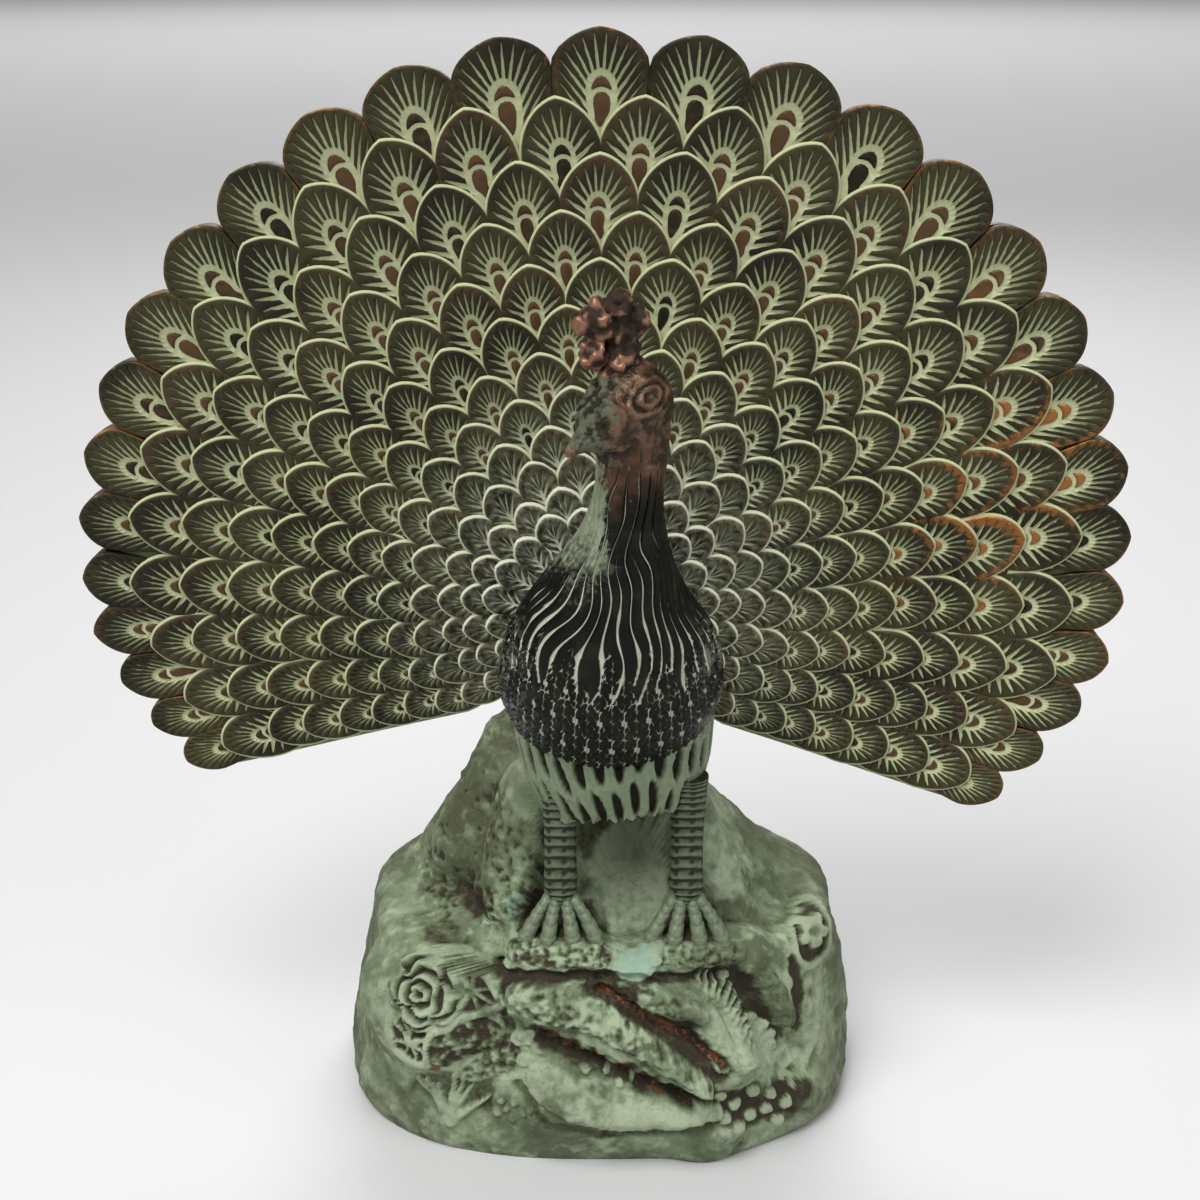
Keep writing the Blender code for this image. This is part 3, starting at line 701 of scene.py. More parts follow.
@dataclass
class FeatherPattern:
    """One feather drawn flat: across in half pitches, inward from its tip in row spacings, up in metres.

    Its faces are turned over, because laying it on the fan mirrors it.
    """

    kind: FeatherKind
    barbs: int
    depth: float = 1.05  # from the tip to where two neighbours meet
    half_width: float = 1.0
    point: float = 0.16  # how pointed its arch is
    length: float = 2.25
    foot: float = 0.00045  # how far the pale foot spreads, in metres
    ridge: float = 0.00030
    drop: float = 0.0011
    groove: float = 0.31  # half a groove's width at its inner end, as a share of the barb's pitch
    taper: float = 0.24  # how much narrower it is at its outer end
    eye_top: float = 0.66
    eye_half: float = 0.32
    # Rows from the shaft out to the edge, then down its side and back below it: the place, nought
    # at the barbs' inner end and one at the edge, and how much of the ridges stands there.
    levels: tuple[Flat, ...] = (
        (-1.0, 0.0), (0.0, 0.0), (0.07, 1.0), (0.45, 1.0), (0.86, 1.0), (0.93, 1.0), (1.0, 0.75),
        (1.12, 0.0), (1.2, 0.0), (1.3, 0.0),
    )
    below: int = 3  # how many of them lie below the edge
    # Columns of one barb: the place, as a share of the pitch, and how many half grooves off it.
    columns: tuple[Flat, ...] = ((0.0, 0.0), (0.5, -1.0), (0.5, -0.45), (0.5, 0.45), (0.5, 1.0))

    def border(self, u: Array) -> tuple[Array, Array]:
        """The feather's edge from its left root round the tip to its right root.

        Args:
            u: -1 at the left root, 0 at the tip, 1 at the right root.

        Returns:
            Across and inward.
        """
        side = np.clip(np.abs(u) * 2 - 1, 0, 1)
        bend = np.clip(np.abs(u) * 2, 0, 1) * math.pi / 2
        across = np.sign(u) * self.half_width * (np.sin(bend) - 0.35 * side**2)
        arch = 1 - np.cos(bend) + self.point * (np.sin(bend) - 1 + np.cos(bend))
        inward = self.depth * arch + (self.length - self.depth) * side
        return across, inward

    def inner(self, u: Array) -> tuple[Array, Array]:
        """Where the barbs end inside: round the eye, then down both sides of the shaft.

        Args:
            u: -1 at the left root, 0 at the tip, 1 at the right root.

        Returns:
            Across and inward.
        """
        size = np.abs(u)
        if self.kind is FeatherKind.EYED:
            stations = np.array([0.0, 0.12, 0.24, 0.36, 0.50, 0.68, 1.0])
            across = np.array([0.0, 0.13, 0.225, 0.27, 0.235, 0.05, 0.03])
            inward = np.array([0.0, 0.04, 0.14, 0.34, 0.72, 1.34, 2.35]) + self.eye_top
            across = across * self.eye_half / across.max()
        else:
            stations = np.array([0.0, 0.25, 0.50, 1.0])
            across = np.array([0.0, 0.05, 0.05, 0.03])
            inward = np.array([0.95, 1.10, 1.65, 2.9])
        return np.sign(u) * np.interp(size, stations, across), np.interp(size, stations, inward)

    def sheet(self) -> bmesh.types.BMesh:
        """The barbed sheet, closed below, with its barbs counted in the UV map.

        Returns:
            A bmesh of one closed body.
        """
        columns = self.barbs * len(self.columns)
        last = len(self.levels) - 1
        edge = last - self.below
        bm = bmesh.new()
        bmesh.ops.create_grid(bm, x_segments=columns, y_segments=last, size=1)
        spot = np.array([vert.co for vert in bm.verts])
        column = np.rint((spot[:, 0] + 1) / 2 * columns).astype(int)
        row = np.rint((spot[:, 1] + 1) / 2 * last).astype(int)
        place, stands = np.array(self.levels)[row].T
        barb, in_barb = np.divmod(column, len(self.columns))
        middle, offset = np.array(self.columns)[in_barb].T
        count = barb + (middle + offset * (self.groove - self.taper * np.clip(place, 0, 1)))
        u = 2 * count / self.barbs - 1
        edge_across, edge_inward = self.border(u)
        inner_across, inner_inward = self.inner(u)
        share = np.clip(place, 0, 1)
        on_shaft = (row == 0) | (row == last)
        across = np.where(on_shaft, 0.0, inner_across + (edge_across - inner_across) * share)
        inward = inner_inward + (edge_inward - inner_inward) * share
        inward = np.where(on_shaft, np.maximum(inner_inward, self.eye_top + 0.30), inward)
        groove = (np.abs(offset) == 0.45) & (place < 0.9)
        lift = self.ridge * np.where(groove, 0.0, stands)
        lift = np.where(row > edge, -0.4 * self.ridge, lift)
        lift = np.where(row > edge + 1, -self.drop, lift)
        foot = np.isin(row, (edge + 1, edge + 2)).astype(float)
        settle(bm, bm.verts, np.stack([across, inward, lift], 1), foot=foot)
        chart(bm, "barbs", count, place)
        bmesh.ops.remove_doubles(bm, verts=bm.verts, dist=1e-7)
        ends = [side for side in bm.edges if side.is_boundary]
        bmesh.ops.contextual_create(bm, geom=ends)
        bmesh.ops.triangulate(bm, faces=[face for face in bm.faces if len(face.verts) > 4])
        bmesh.ops.recalc_face_normals(bm, faces=bm.faces)
        return bm

    def boss(
        self, bm: bmesh.types.BMesh, warp: Callable[[Array, Array], tuple], height: float
    ) -> None:
        """Adds a low rounded boss to a feather.

        Args:
            bm: the feather.
            warp: turns a unit disc's two coordinates into across and inward.
            height: how high the boss stands, in metres.
        """
        made = bmesh.ops.create_uvsphere(bm, u_segments=14, v_segments=8, radius=1)["verts"]
        spot = np.array([vert.co for vert in made])
        across, inward = warp(spot[:, 0], spot[:, 1])
        settle(bm, made, np.stack([across, inward, spot[:, 2] * height], 1))
        for face in {face for vert in made for face in vert.link_faces}:
            face.material_index = 1

    def drop_outline(self, x: Array, y: Array) -> tuple[Array, Array]:
        """A unit disc pulled into a drop whose point runs in along the shaft."""
        down = np.clip((1 - y) / 2, 0, 1)
        return 0.76 * self.eye_half * x * (1 - 0.45 * down), self.eye_top + 0.33 + 0.56 * down**1.15

    def crescent_outline(self, x: Array, y: Array) -> tuple[Array, Array]:
        """A unit disc bent into a crescent over the drop."""
        return 0.19 / 0.27 * self.eye_half * x, self.eye_top + 0.17 - 0.085 * y + 0.12 * x**2

    def mesh(self) -> bpy.types.Mesh:
        """Makes the whole feather, which copies are made from.

        Returns:
            Its mesh.
        """
        bm = self.sheet()
        if self.kind is FeatherKind.EYED:
            self.boss(bm, self.drop_outline, self.ridge * 1.25)
            self.boss(bm, self.crescent_outline, self.ridge)
        bmesh.ops.recalc_face_normals(bm, faces=bm.faces)
        bmesh.ops.reverse_faces(bm, faces=bm.faces)
        mesh = bpy.data.meshes.new("feather_pattern")
        bm.to_mesh(mesh)
        bm.free()
        return mesh


def add_piece(
    name: str,
    bm: bmesh.types.BMesh,
    finishes: Sequence[bpy.types.Material],
    points: Array | None = None,
    marks: dict[str, Array] | None = None,
) -> bpy.types.Object:
    """Makes a finished object that rides with the casting and stands for its solid.

    Args:
        name: the piece's name.
        bm: its mesh, which is freed.
        finishes: its materials, in the order of their places.
        points: where its points go, if they move.
        marks: numbers that its points keep for the finish, by name.

    Returns:
        The object.
    """
    mesh = bpy.data.meshes.new(name)
    bm.to_mesh(mesh)
    bm.free()
    if points is not None:
        mesh.vertices.foreach_set("co", points.ravel())
        mesh.update()
    for mark, values in (marks or {}).items():
        mesh.attributes.new(mark, "FLOAT", "POINT").data.foreach_set("value", values.astype(np.float32))
    mesh.shade_smooth()
    for finish in finishes:
        mesh.materials.append(finish)
    piece = bpy.data.objects.new(name, mesh)
    bpy.context.scene.collection.objects.link(piece)
    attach(piece, "root")
    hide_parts(NODE)
    mesh.calc_loop_triangles()
    LOG.info("%s: %d triangles", name, len(mesh.loop_triangles))
    return piece


def settle(
    bm: bmesh.types.BMesh, verts: Sequence[bmesh.types.BMVert], points: Array, **marks: Array
) -> None:
    """Moves points of a mesh.

    Args:
        bm: the mesh.
        verts: its points that move.
        points: where they go.
        marks: numbers that they keep for the finish, by name.
    """
    layers = bm.verts.layers.float
    for mark, values in marks.items():
        layer = layers.get(mark) or layers.new(mark)
        for vert, value in zip(verts, values.tolist()):
            vert[layer] = value
    for vert, point in zip(verts, points.tolist()):
        vert.co = point


def chart(bm: bmesh.types.BMesh, name: str, across: Array, along: Array) -> None:
    """Gives a mesh a UV map.

    Args:
        bm: the mesh.
        name: the map's name.
        across: its first number at each point.
        along: its second number.
    """
    layer = bm.loops.layers.uv.new(name)
    bm.verts.index_update()
    for face in bm.faces:
        for loop in face.loops:
            loop[layer].uv = (across[loop.vert.index], along[loop.vert.index])


def joined(parts: Sequence[bmesh.types.BMesh]) -> bmesh.types.BMesh:
    """Joins several meshes.

    Args:
        parts: the meshes, which are freed.

    Returns:
        One mesh that holds them all.
    """
    bm = bmesh.new()
    for part in parts:
        mesh = bpy.data.meshes.new("part")
        part.to_mesh(mesh)
        part.free()
        bm.from_mesh(mesh)
        bpy.data.meshes.remove(mesh)
    return bm


def unit(vectors: Array) -> Array:
    """Vectors made one long."""
    return vectors / np.linalg.norm(vectors, axis=1)[:, None]


def counted(turn: Array, parts: float) -> Array:
    """Turns counted in equal parts of a circle."""
    return turn / (2 * math.pi) * parts


@dataclass
class Feathers:
    """The rows of feathers on the fan's front."""

    eyed_share: float = 0.43  # rows within this share of the reach have no eyes
    eyed_barbs: int = 24
    step: float = 0.00095
    crown: float = 0.00035
    lean: float = 0.05  # this and the next three say how much one feather differs from another
    widen: float = 0.02
    reach_slip: float = 0.0003
    height_slip: float = 0.00005
    seed: int = 7
    groups: tuple[tuple[str, int, int], ...] = (
        ("rim_feathers", 0, 2),
        ("outer_feathers", 2, 5),
        ("middle_feathers", 5, 8),
        ("inner_feathers", 8, 12),
    )

    def row_pattern(self, index: int) -> FeatherPattern:
        """The feather that a row repeats.

        Args:
            index: the row, counted from the rim.

        Returns:
            Its pattern.
        """
        share = FAN.rows[index][0]
        if index == 0:
            return FeatherPattern(FeatherKind.EYED, self.eyed_barbs, depth=FanPlate.rim_depth, foot=0.0)
        if share > self.eyed_share:
            eye_half = 0.25 + 0.08 * (share - self.eyed_share) / (1 - self.eyed_share)
            return FeatherPattern(FeatherKind.EYED, self.eyed_barbs, eye_half=eye_half)
        barbs = 16 if share > 0.3 else 12
        return FeatherPattern(FeatherKind.BARBED, barbs, ridge=0.00026)

    def lay(
        self, index: int, bm: bmesh.types.BMesh, rng: np.random.Generator
    ) -> tuple[Array, Array]:
        """Lays one row of feathers.

        Args:
            index: the row, counted from the rim.
            bm: where the feathers go, unplaced as yet.
            rng: draws each feather's wear and its small slips.

        Returns:
            Where the new points go, and the wear at each.
        """
        share, feathers = FAN.rows[index]
        inner_share = FAN.rows[index + 1][0] if index + 1 < len(FAN.rows) else share - 0.04
        pattern = self.row_pattern(index)
        mesh = pattern.mesh()
        flat = np.empty(len(mesh.vertices) * 3)
        mesh.vertices.foreach_get("co", flat)
        across, inward, lift = flat.reshape(-1, 3).T
        foot = np.empty(len(mesh.vertices), np.float32)
        mesh.attributes["foot"].data.foreach_get("value", foot)
        points = []
        wear = []
        for feather in range(feathers):
            slip = rng.normal(0, 1, 4)
            skew = self.lean * slip[0] * inward * (inward < 1.4)
            place = feather + 0.5 + 0.5 * (across * (1 + self.widen * slip[1]) + skew)
            turn = FAN.turn(share, feathers, place)
            rim = FAN.rim(turn)
            spacing = (share - inner_share) * rim
            reach = share * rim - inward * spacing + self.reach_slip * slip[2] * (index > 0)
            sinking = 1 - inward / 2
            shape = self.step * sinking + self.crown * (1 - np.minimum(across**2, 1.2)) * sinking
            ridges = lift * (1 - 0.7 * step_up(inward, 1.0, 1.4))
            raised = shape + ridges + self.height_slip * slip[3]
            middle = FAN.turn(share, feathers, np.array([feather + 0.5]))[0]
            out_reach = reach - (share * FAN.rim(middle) - (share - inner_share) * FAN.rim(middle))
            out_turn = (turn - middle) * reach
            length = np.hypot(out_reach, out_turn) + 1e-9
            reach = reach + foot * pattern.foot * out_reach / length
            turn = turn + foot * pattern.foot * out_turn / length / np.maximum(reach, 0.004)
            points.append(FAN.point(reach, turn, raised))
            wear.append(np.full(len(foot), rng.uniform(0, 1)))
            bm.from_mesh(mesh)
        bpy.data.meshes.remove(mesh)
        return np.concatenate(points), np.concatenate(wear)

    def build(self, finishes: Sequence[bpy.types.Material]) -> list[bpy.types.Object]:
        """Builds the groups of rows.

        Args:
            finishes: the barbs' material and the eyes'.

        Returns:
            The pieces.
        """
        rng = np.random.default_rng(self.seed)
        made = []
        for name, first, last in self.groups:
            bm = bmesh.new()
            laid = [self.lay(index, bm, rng) for index in range(first, last)]
            points = np.concatenate([points for points, _ in laid])
            rims = [np.full(len(wear), float(first + row == 0)) for row, (_, wear) in enumerate(laid)]
            marks = {"wear": np.concatenate([wear for _, wear in laid]), "rim": np.concatenate(rims)}
            made.append(add_piece(name, bm, finishes, points, marks))
        return made


def smooth_between(stations: Array, position: Array) -> Array:
    """Reads stations on a smooth curve.

    Args:
        stations: one row of numbers for each station.
        position: where to read, counted in stations.

    Returns:
        One row of numbers for each position.
    """
    last = len(stations) - 1
    index = np.clip(position.astype(int), 0, last - 1)
    t = np.clip(position - index, 0, 1)[:, None]
    before, start, end, after = (stations[np.clip(index + k, 0, last)] for k in (-1, 0, 1, 2))
    bend = 2 * before - 5 * start + 4 * end - after + t * (3 * (start - end) + after - before)
    return start + 0.5 * t * (end - before + t * bend)


def step_up(value: Array, low: float, high: float) -> Array:
    """A smooth step from nought at one value to one at another."""
    t = np.clip((value - low) / (high - low), 0, 1)
    return t * t * (3 - 2 * t)


def cloud(points: Array, size: float, layers: int) -> Array:
    """Smooth noise between about -1 and 1 at points.

    Args:
        points: where it is wanted.
        size: how far apart its lumps are.
        layers: how many finer layers it has.

    Returns:
        The noise at each point.
    """
    spots = (points / size).tolist()
    return np.array([noise.fractal(Vector(spot), 1.0, 2.0, layers) for spot in spots])


class Sheet:
    """A fine grid that is rolled or laid over a form, then carved."""

    def __init__(self, columns: int, rows: int) -> None:
        """Makes the flat grid.

        Args:
            columns: how many cells across.
            rows: how many cells along.
        """
        self.bm = bmesh.new()
        bmesh.ops.create_grid(self.bm, x_segments=columns, y_segments=rows, size=1)
        spot = np.array([vert.co for vert in self.bm.verts])
        self.across = (spot[:, 0] + 1) / 2
        self.along = (spot[:, 1] + 1) / 2

    def place(self, points: Array, relief: Array) -> bmesh.types.BMesh:
        """Moves the grid's points and closes the seams and poles that now meet.

        Args:
            points: where the points go.
            relief: how high each point stands in the carving, from nought to one.

        Returns:
            The closed mesh.
        """
        settle(self.bm, self.bm.verts, points, relief=relief)
        bmesh.ops.remove_doubles(self.bm, verts=self.bm.verts, dist=1e-7)
        bmesh.ops.dissolve_degenerate(self.bm, edges=self.bm.edges, dist=1e-8)
        bmesh.ops.recalc_face_normals(self.bm, faces=self.bm.faces)
        return self.bm


@dataclass
class SweptForm:
    """A round form swept along stations of centre, half width and half depth."""

    stations: Sequence[tuple[Spot, float, float]]
    smooth_over: float = 0.5

    def table(self) -> Array:
        """The stations as rows of five numbers."""
        return np.array([(*centre, across, deep) for centre, across, deep in self.stations])

    def surface(self, turn: Array, position: Array, lift: Array) -> Array:
        """Points on the form, lifted off it.

        Args:
            turn: the angle round the form. A quarter turn back is its front or belly.
            position: along the form, counted in stations.
            lift: how far the point stands off the form, in metres.

        Returns:
            The points.
        """
        table = self.table()
        last = len(table) - 1
        here = smooth_between(table, position)
        ahead = smooth_between(table, np.minimum(position + self.smooth_over, last))
        behind = smooth_between(table, np.maximum(position - self.smooth_over, 0))
        along = unit(ahead[:, :3] - behind[:, :3])
        across = unit(np.array([1.0, 0, 0]) - along * along[:, :1])
        deep = np.cross(along, across)
        wide = (here[:, 3] + lift)[:, None]
        thick = (here[:, 4] + lift)[:, None]
        sideways = across * wide * np.cos(turn)[:, None]
        return here[:, :3] + sideways + deep * thick * np.sin(turn)[:, None]

    def carve(
        self,
        columns: int,
        rows: int,
        relief: Callable[[Array, Array], Array],
        depth: float,
        strands: Callable[[Array, Array], Array] | None = None,
        hem: Callable[[Array], Array] | None = None,
    ) -> bmesh.types.BMesh:
        """Rolls a sheet over the form and carves it.

        Args:
            columns: cells round the form.
            rows: cells along it.
            relief: gives the carving, from nought to one, for turns and positions.
            depth: how deep the carving is, in metres.
            strands: counts the strands round the form, for the finish.
            hem: by how many stations the far end falls short, for turns.

        Returns:
            The closed mesh.
        """
        sheet = Sheet(columns, rows)
        turn = (sheet.across * 2 + 0.5) * math.pi
        last = len(self.stations) - 1
        inside = (sheet.along > 0.5 / rows) & (sheet.along < 1 - 0.5 / rows)
        share = np.clip((sheet.along * rows - 1) / (rows - 2), 0, 1)
        position = share * last
        if hem:
            position = share * (last - hem(turn))
        height = relief(turn, position)
        points = self.surface(turn, position, (height - 0.6) * depth)
        ends = smooth_between(self.table(), share * last)[:, :3]
        points = np.where(inside[:, None], points, ends)
        if strands:
            chart(sheet.bm, "strands", strands(turn, position), position)
        return sheet.place(points, height)


@dataclass(frozen=True)
class Strands:
    """Long wavy strands that run down a swept form, parted by narrow grooves."""

    count: int
    groove: float = 0.16  # half a groove's width, as a share of the strands' pitch
    sway: float = 0.55  # how far the strands wander, in pitches
    thin_above: float = 99.0  # above this position every second groove has ended

    def numbered(self, turn: Array, position: Array) -> Array:
        """Counts the strands round the form.

        Args:
            turn: the angles round the form.
            position: the places along it.

        Returns:
            The count. A groove runs where it is a whole number.
        """
        wander = np.sin(2.1 * position + 1.3 * np.sin(3 * turn))
        wander = wander + 0.6 * np.sin(4.3 * position + 2 * np.sin(2 * turn))
        return counted(turn, self.count) + self.sway * wander

    def relief(self, turn: Array, position: Array) -> Array:
        """How high the strands stand, from nought to one.

        Args:
            turn: the angles round the form.
            position: the places along it.

        Returns:
            The heights.
        """
        count = self.numbered(turn, position)
        line = np.floor(count + 0.5)
        away = np.abs(count - line)
        ended = step_up(position, self.thin_above - 0.5, self.thin_above + 0.5)
        groove = self.groove * (1 - (line % 2) * ended)
        return step_up(away, groove * 0.3, groove * 1.8 + 0.01)


@dataclass(frozen=True)
class Slots:
    """A net of ridges with long slots between them, running down a swept form."""

    count: int = 29
    row: float = 1.02  # rows are this many stations apart
    slot_width: float = 0.60  # as a share of the slots' pitch
    slot_length: float = 1.02  # as a share of a row

    def relief(self, turn: Array, position: Array) -> Array:
        """How high the net stands, from nought to one.

        Args:
            turn: the angles round the form.
            position: the places along it.

        Returns:
            The heights.
        """
        along = position / self.row + 0.16 * np.sin(turn * 5 + 1) + 0.1 * np.sin(turn * 11)
        row = np.floor(along)
        place = counted(turn, self.count) + 0.5 * (row % 2) + 0.12 * np.sin(position * 3)
        x = (place % 1) * 2 - 1
        y = (along - row) * 2 - 1
        lean = x + 0.25 * y * np.sin(turn * 3 + row)
        slot = np.hypot(lean / self.slot_width, y / self.slot_length)
        return step_up(slot, 0.55, 1.0) * (1 - 0.15 * np.abs(x))

    def hem(self, turn: Array) -> Array:
        """How many stations short the lower end falls, in points."""
        tooth = np.abs((counted(turn, self.count) * 1.5) % 1 - 0.5) * 2
        return 0.42 * tooth * (0.7 + 0.3 * np.sin(turn * 7))


@dataclass(frozen=True)
class BreastFeathers:
    """Pointed overlapping feathers with barbs, their tips down."""

    count: int = 28
    row: float = 0.36  # rows are this many stations apart
    barbs: float = 3.0
    widest: float = 0.85  # how far up from its tip a feather is widest, in rows

    def relief(self, turn: Array, position: Array) -> Array:
        """How high the feathers stand, from nought to one.

        Args:
            turn: the angles round the form.
            position: the places along it.

        Returns:
            The heights.
        """
        along = position / self.row
        here = np.floor(along)
        height = np.zeros(len(turn))
        covered = np.zeros(len(turn), bool)
        for behind in (0, 1):
            row = here - behind
            up = along - row
            off = np.abs(((counted(turn, self.count) + 0.5 * (row % 2)) % 1) * 2 - 1)
            half_width = np.clip(up / self.widest, 0, 1) ** 0.6
            inside = off < half_width * 1.02
            rib = ((up + 0.55 * off) * self.barbs) % 1
            barb = step_up(np.abs(rib - 0.5), 0.10, 0.24)
            shaft = step_up(off, 0.05, 0.14)
            edge = step_up(half_width - off, 0.0, 0.22)
            shape = (1 - 0.2 * up) * (0.25 + 0.75 * barb * shaft) * (0.15 + 0.85 * edge)
            height = np.where(inside & ~covered, shape, height)
            covered |= inside
        return height


@dataclass
class Bird:
    """The peacock without its fan: body, head, crest, thighs and legs."""

    body: SweptForm = field(default_factory=lambda: SweptForm((
        ((0.0000, 0.0100, 0.0600), 0.0085, 0.0090),
        ((0.0005, 0.0030, 0.0590), 0.0118, 0.0114),
        ((0.0010, -0.0050, 0.0596), 0.0134, 0.0122),
        ((0.0014, -0.0110, 0.0628), 0.0137, 0.0120),
        ((0.0014, -0.0142, 0.0690), 0.0122, 0.0100),
        ((0.0018, -0.0157, 0.0750), 0.0087, 0.0079),
        ((0.0026, -0.0165, 0.0805), 0.0056, 0.0060),
        ((0.0032, -0.0170, 0.0860), 0.0040, 0.0047),
        ((0.0036, -0.0176, 0.0915), 0.0039, 0.0044),
        ((0.0036, -0.0182, 0.0965), 0.0042, 0.0044),
    )))
    skirt: SweptForm = field(default_factory=lambda: SweptForm((
        ((0.0014, -0.0070, 0.0600), 0.0120, 0.0100),
        ((0.0018, -0.0075, 0.0540), 0.0122, 0.0105),
        ((0.0022, -0.0085, 0.0484), 0.0112, 0.0092),
        ((0.0028, -0.0095, 0.0432), 0.0094, 0.0066),
    )))
    head: "Lumps" = field(default_factory=lambda: Lumps(
        (0.0026, -0.0195, 0.0975),
        (
            ((0.0034, -0.0188, 0.0985), (0.0010, -0.0215, 0.0968), 0.0042, 0.0036),
            ((0.0036, -0.0182, 0.0925), (0.0036, -0.0184, 0.0975), 0.0041, 0.0044),
            ((0.0006, -0.0222, 0.0964), (-0.0038, -0.0262, 0.0939), 0.0024, 0.0004),
        ),
        0.0016,
    ))
    head_depth: float = 0.0007
    head_detail: int = 5  # how often the ball that it is made of is subdivided
    knob_detail: int = 4
    face_middle: float = 0.0012
    eyes: tuple[Spot, Spot] = ((-0.0014, -0.0205, 0.0990), (0.0056, -0.0224, 0.0996))
    eye_ring: float = 0.00115  # how far apart the rings round an eye are
    eye_fade: Flat = (0.0034, 0.0024)
    ruff_pitch: float = 0.0011
    ruff_fade: Flat = (0.0955, 0.0940)
    body_cells: tuple[int, int] = (280, 200)
    body_depth: float = 0.00042
    skirt_cells: tuple[int, int] = (260, 90)
    skirt_depth: float = 0.0011
    strands: Strands = Strands(36, thin_above=5.9)
    breast: BreastFeathers = BreastFeathers()
    slots: Slots = Slots()
    legs_x: Flat = (-0.0050, 0.0110)
    leg_y: float = -0.0120
    leg_top: float = 0.0490
    ankle: float = 0.0325
    leg_radius: float = 0.0021
    leg_scales: int = 19
    leg_depth: float = 0.00026
    ground: float = 0.0262
    toe_spread: tuple[float, ...] = (-0.0050, -0.0018, 0.0018, 0.0050)
    toe_reach: float = 0.0054
    toe_radius: float = 0.0012
    toe_arch: float = 0.0009
    toe_scales: int = 9
    toe_depth: float = 0.0004
    toe_least: float = 0.7  # how high a toe stands between its scales, as a share of the depth
    toe_profile: tuple[Flat, ...] = (
        (0.0, 0.85), (0.3, 0.55), (0.55, 0.60), (0.85, 0.75), (1.0, 0.5), (1.12, 0.2),
    )
    # Each knob's centre, radius and a shift of its relief: the left knobs are shifted up to copper as
    # painted highlight, the others down towards dark.
    knobs: tuple[tuple[Spot, float, float], ...] = (
        ((-0.0007, -0.0196, 0.1038), 0.0018, 0.2),
        ((-0.0005, -0.0195, 0.1072), 0.0020, 0.1),
        ((0.0018, -0.0188, 0.1089), 0.0019, -0.1),
        ((0.0040, -0.0182, 0.1074), 0.0014, -0.5),
        ((0.0022, -0.0187, 0.1062), 0.0019, -0.6),
        ((0.0022, -0.0186, 0.1042), 0.0021, -0.6),
        ((0.0024, -0.0186, 0.1015), 0.0024, -0.5),
    )

    def body_relief(self, turn: Array, position: Array) -> Array:
        """The carving of neck and breast: strands above, feathers below.

        Args:
            turn: the angles round the form.
            position: the places along it.

        Returns:
            The heights, from nought to one.
        """
        ragged = position + 0.35 * np.sin(turn * 13) + 0.25 * np.sin(turn * 29 + 1)
        upper = step_up(ragged, 3.9, 4.4)
        low = self.breast.relief(turn, position) * (1 - upper)
        high = self.strands.relief(turn, position) * upper
        return np.maximum(np.maximum(low, high), 0.8 * step_up(position, 7.6, 8.4))

    def build_body(self, finish: bpy.types.Material) -> bpy.types.Object:
        """Carves neck and breast."""
        carved = self.body.carve(*self.body_cells, self.body_relief, self.body_depth, self.strands.numbered)
        return add_piece("neck_and_breast", carved, [finish])

    def build_skirt(self, finish: bpy.types.Material) -> bpy.types.Object:
        """Carves the feathered thighs."""
        carved = self.skirt.carve(*self.skirt_cells, self.slots.relief, self.skirt_depth, hem=self.slots.hem)
        return add_piece("thighs", carved, [finish])

    def head_relief(self, points: Array) -> Array:
        """The head's carving: rings round the eyes, pits, and ruffled feathers below.

        Args:
            points: the smooth head's points.

        Returns:
            How high each stands, from about nought to one.
        """
        right = points[:, 0] > self.face_middle
        off = points - np.where(right[:, None], *(np.array(eye) for eye in reversed(self.eyes)))
        slant = off[:, 2] * 0.85 - off[:, 0] * 0.55
        away = np.hypot(np.linalg.norm(off, axis=1), 1.3 * slant) * 0.8
        rings = np.cos(away / self.eye_ring * 2 * math.pi) * step_up(away, *self.eye_fade)
        wave = (points[:, 2] + 0.5 * points[:, 1]) / self.ruff_pitch + 0.4 * np.sin(points[:, 0] * 900)
        ruff = (np.abs(wave % 1 - 0.5) * 2 - 0.5) * step_up(points[:, 2], *self.ruff_fade)
        pits = cloud(points, 0.0009, 3) * np.where(right, 0.7, 1.4) + 0.6 * cloud(points, 0.0024, 2)
        return 0.55 + 0.40 * rings + 0.45 * pits + 0.3 * ruff

    def build_head(self, finish: bpy.types.Material) -> bpy.types.Object:
        """Models head and beak.

        Args:
            finish: their material.

        Returns:
            The piece.
        """
        bm = bmesh.new()
        bmesh.ops.create_icosphere(bm, subdivisions=self.head_detail, radius=1)
        points = self.head.cast(np.array([vert.co for vert in bm.verts]))
        outward = unit(points - np.array(self.head.heart))
        relief = self.head_relief(points)
        points = points + outward * ((relief - 0.55) * self.head_depth)[:, None]
        settle(bm, bm.verts, points, relief=relief)
        return add_piece("head", bm, [finish])

    def build_crest(self, finish: bpy.types.Material) -> bpy.types.Object:
        """Models the crest's knobs.

        Args:
            finish: their material.

        Returns:
            The piece.
        """
        bm = bmesh.new()
        bm.verts.layers.float.new("relief")
        for centre, radius, bare in self.knobs:
            ball = bmesh.ops.create_icosphere(bm, subdivisions=self.knob_detail, radius=radius)
            made = ball["verts"]
            spot = np.array([vert.co for vert in made])
            lump = 0.97 + 0.50 * cloud(spot + np.array(centre), 0.0015, 3)
            # each knob's shift moves its colour: painted highlight on the left knobs
            settle(bm, made, spot * lump[:, None] + np.array(centre), relief=lump * 3 - 2.3 + bare)
        return add_piece("crest", bm, [finish])

    def limb(
        self, path: Sequence[tuple[Spot, float, float]], scales: int, depth: float, least: float = 0.0
    ) -> bmesh.types.BMesh:
        """A scaly leg or toe swept along stations.

        Args:
            path: its stations.
            scales: how many bands it has.
            depth: how deep they are, in metres.
            least: how high it stands where it is lowest, from nought to one.

        Returns:
            The closed mesh.
        """
        last = len(path) - 1

